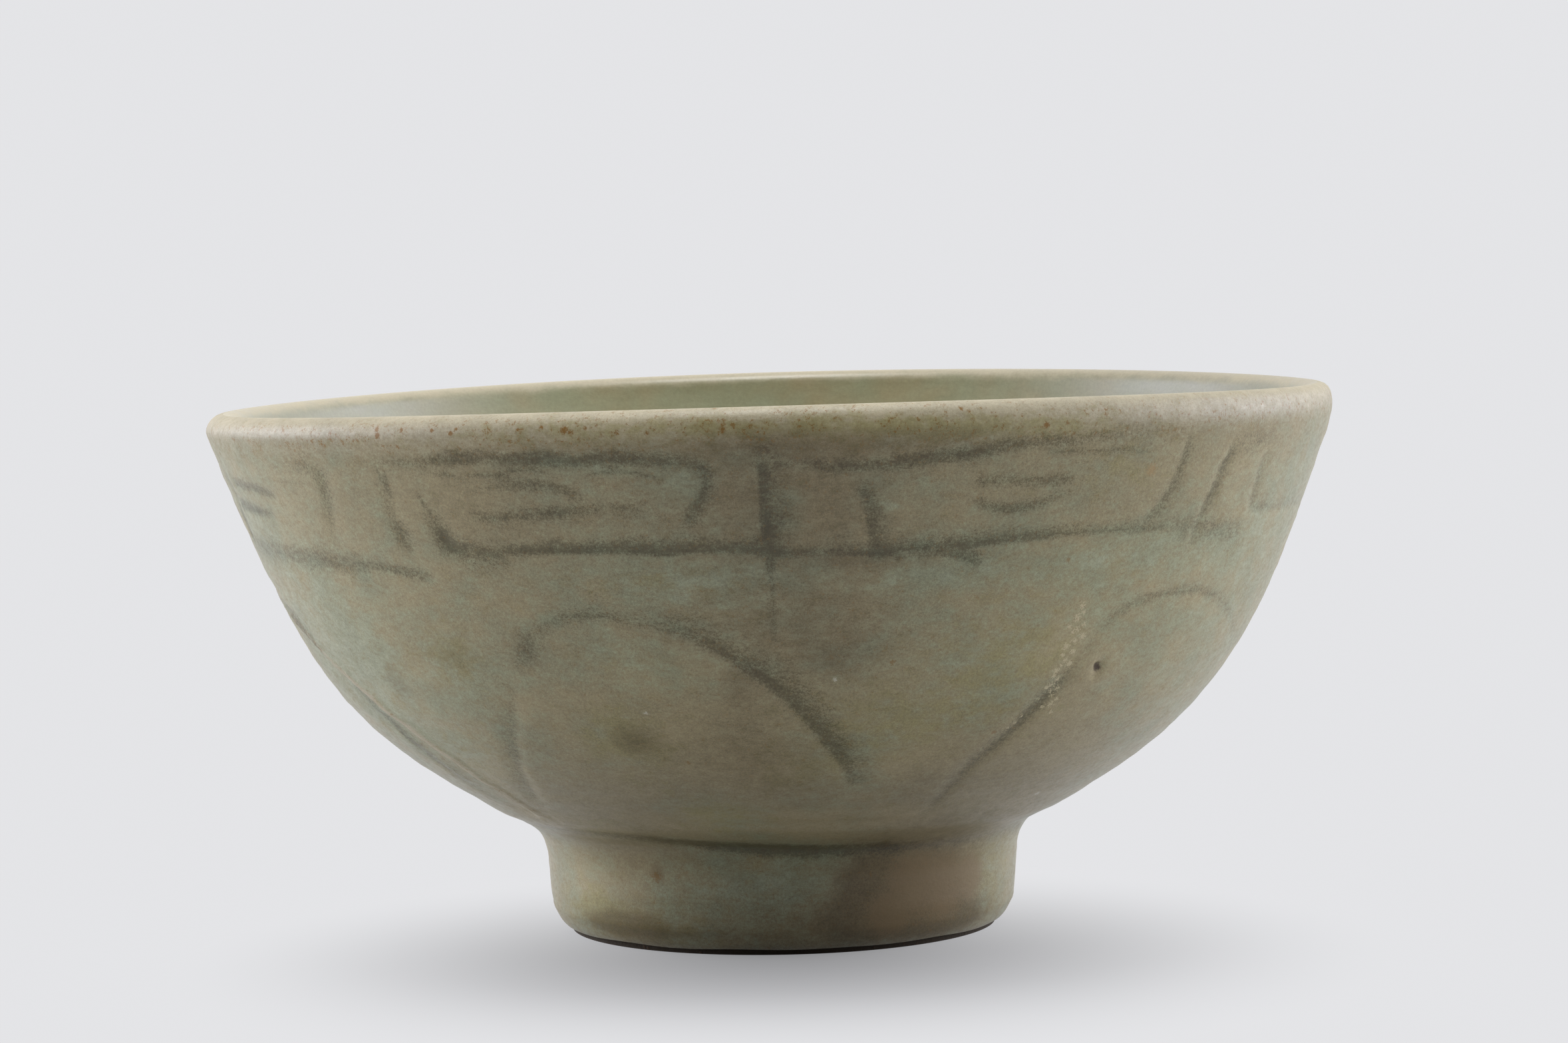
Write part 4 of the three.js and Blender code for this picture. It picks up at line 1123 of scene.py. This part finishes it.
def base_celadon():
    """Thick glossy glaze that ends in a thin brown line."""
    shader = Shader("base_celadon", roughness=0.25)
    cloud = shader.noise(5, detail=3)
    edge = shader.total(shader.field("thin"), (shader.unrest(1.2), 0.5))
    colour = shader.mix(shader.ramp(cloud, 0.3, 0.7), BASE_GREEN, BASE_BROWN)
    shader.colour(shader.mix(shader.ramp(edge, 0.2, 0.7), colour, BASE_EDGE))
    shader.roughness(shader.ramp(cloud, 0.2, 0.8, 0.2, 0.32))
    shader.relief(shader.noise(1.5, detail=2), 0.03)
    return shader.material


def bare_stoneware():
    """Coarse clay, grey-buff in the recess and toasted orange along the standing edge, and near black at the
    edge's outer rim: toasted clay with painted contact shadow.
    """
    shader = Shader("bare_stoneware", roughness=0.85, specular=0.3)
    cloud = shader.unrest(6, detail=4, rough=0.6)
    grit = shader.unrest(0.5, detail=2, rough=0.7, shift=4)
    sand = shader.ramp(shader.noise(0.9, detail=1, shift=7), 0.66, 0.74)
    toasted = shader.total(shader.field("toasted"), (cloud, 1.3))
    colour = shader.mix(shader.ramp(toasted, 0.0, 0.9), BUFF_CLAY, TOASTED_CLAY)
    colour = shader.mix(shader.field("sooty"), colour, DARK_EDGE_CLAY_AND_SHADOW)
    colour = shader.mix(shader.times(sand, 0.6), colour, SAND)
    shader.colour(shader.scaled(colour, shader.total(1.0, (grit, 0.6), (cloud, 0.4))))
    shader.roughness(shader.ramp(grit, -0.3, 0.3, 0.78, 0.92))
    shader.relief(shader.total(grit, (sand, 0.5)), 0.09)
    return shader.material


# The picture: floor, light and camera. The left lamp is -1, and the right one is 1.

FLOOR_RADIUS = 6.0
FLOOR_CORNERS = 96
FLOOR_SEEN = (0.25, 0.25, 0.254)
FLOOR_GLOW = 0.32
FLOOR_LIT_MIDDLE = (0.0, -0.029, 0.0)
FLOOR_LIT_REACH = (0.0, 0.080)
# The floor's colour for bounced light, darker near the bowl: painted shadow
FLOOR_BOUNCE_PAINTED_SHADE_NEAR = (0.28, 0.28, 0.28)
FLOOR_BOUNCE_FAR = (0.46, 0.46, 0.46)
FLOOR_BOUNCE_REACH = (0.035, 0.13)
SIDE_LAMP_PLACE = (1.05, 0.26, 0.20)
SIDE_LAMP_SIZE = 1.1
SIDE_LAMP_POWERS = {-1: 13.8, 1: 12.3}
SIDE_LAMP_COLOUR = (1.0, 1.0, 1.12)
TOP_LAMP_PLACE = (0.0, -0.12, 1.2)
TOP_LAMP_SIZE = 0.5
TOP_LAMP_POWER = 9.3
LAMP_AIM = (0.0, 0.0, 0.035)
WORLD_DARK = 0.03
WORLD_BRIGHT = 0.90
WORLD_CHANGE = (-0.75, 0.25)


def floor_material():
    """A pale floor that takes the bowl's shadow and turns into the backdrop further out. For bounced light
    its colour is darker near the bowl, a painted shadow.
    """
    shader = Shader("pale_floor", roughness=0.9, specular=0.0)
    flat = shader.add("VectorMath", {0: shader.here, 1: (METRES, METRES, 0.0)}, operation="MULTIPLY")
    far = shader.ramp(shader.gap(flat, FLOOR_LIT_MIDDLE), *FLOOR_LIT_REACH, FLOOR_GLOW, 1.0)
    away = shader.ramp(shader.gap(flat, (0.0, 0.0, 0.0)), *FLOOR_BOUNCE_REACH)
    seen = shader.any_ray("Is Camera Ray", "Is Glossy Ray", "Is Transmission Ray")
    # Bounced light from the floor is darkened near the bowl: painted shadow
    bounce = shader.mix(away, FLOOR_BOUNCE_PAINTED_SHADE_NEAR, FLOOR_BOUNCE_FAR)
    shader.colour(shader.mix(seen, bounce, FLOOR_SEEN))
    glow = shader.add("Emission", {"Color": BACKDROP})
    above = shader.add("MixShader", {0: shader.times(far, seen), 1: shader.surface.outputs[0], 2: glow})
    from_below = shader.add("NewGeometry", output="Backfacing")
    shown = shader.add("MixShader", {0: from_below, 1: above, 2: shader.add("BsdfTransparent")})
    shader.put(shown, shader.nodes["Material Output"].inputs["Surface"])
    return shader.material


def lay_floor():
    angle = np.linspace(0, 2 * math.pi, FLOOR_CORNERS + 1)[:-1]
    points = FLOOR_RADIUS * np.stack([np.cos(angle), np.sin(angle), 0 * angle], 1)
    mesh = bpy.data.meshes.new("floor")
    mesh.from_pydata(points, [], [list(range(FLOOR_CORNERS))])
    mesh.materials.append(floor_material())
    floor = new_object("floor", mesh)


def hang_lamp(name, place, size, power, colour=(1.0, 1.0, 1.0)):
    lamp = bpy.data.lights.new(name, "AREA")
    lamp.shape = "DISK"
    lamp.size = size
    lamp.energy = power
    lamp.color = colour
    holder = new_object(name, lamp)
    holder.location = place
    holder.rotation_euler = (Vector(LAMP_AIM) - Vector(place)).to_track_quat("-Z", "Y").to_euler()
    holder.visible_camera = False


def light_world():
    """A pale room, darker on the side where the picture is taken from, and an even backdrop."""
    world = bpy.data.worlds.new("studio")
    bpy.context.scene.world = world
    tree = Tree(world)
    depth = tree.add("SeparateXYZ", {0: tree.add("TexCoord", output="Generated")}, "Y")
    brightness = tree.ramp(depth, *WORLD_CHANGE, WORLD_DARK, WORLD_BRIGHT)
    room = tree.nodes["Background"]
    room.inputs["Color"].default_value = (1, 1, 1, 1)
    tree.put(brightness, room.inputs["Strength"])
    backdrop = tree.add("Background", {"Color": BACKDROP})
    seen = tree.any_ray("Is Camera Ray", "Is Transmission Ray")
    shown = tree.add("MixShader", {0: seen, 1: room.outputs[0], 2: backdrop})
    tree.put(shown, tree.nodes["World Output"].inputs["Surface"])


def set_camera():
    lens = bpy.data.cameras.new("camera")
    lens.sensor_width = SENSOR
    lens.lens = LENS
    pitch = Matrix.Rotation(math.radians(90 - CAMERA_PITCH), 4, "X")
    roll = Matrix.Rotation(math.radians(-CAMERA_ROLL), 4, "Z")
    camera = new_object("camera", lens)
    camera.matrix_world = Matrix.Translation(METRES * Vector(CAMERA_PLACE)) @ pitch @ roll
    bpy.context.scene.camera = camera


set_camera()
dress(glazed_outside(), "outer_glaze", outer_celadon())
dress(glazed_inside(), "inner_glaze", inner_celadon())
dress(bare_clay(), "clay_body", bare_stoneware())
dress(glazed_base(), "base_glaze", base_celadon())

lay_floor()
for side, power in SIDE_LAMP_POWERS.items():
    x, y, z = SIDE_LAMP_PLACE
    hang_lamp(f"side_lamp_{side}", (side * x, y, z), SIDE_LAMP_SIZE, power, SIDE_LAMP_COLOUR)
hang_lamp("top_lamp", TOP_LAMP_PLACE, TOP_LAMP_SIZE, TOP_LAMP_POWER)
light_world()
bpy.context.scene.view_settings.view_transform = "Standard"
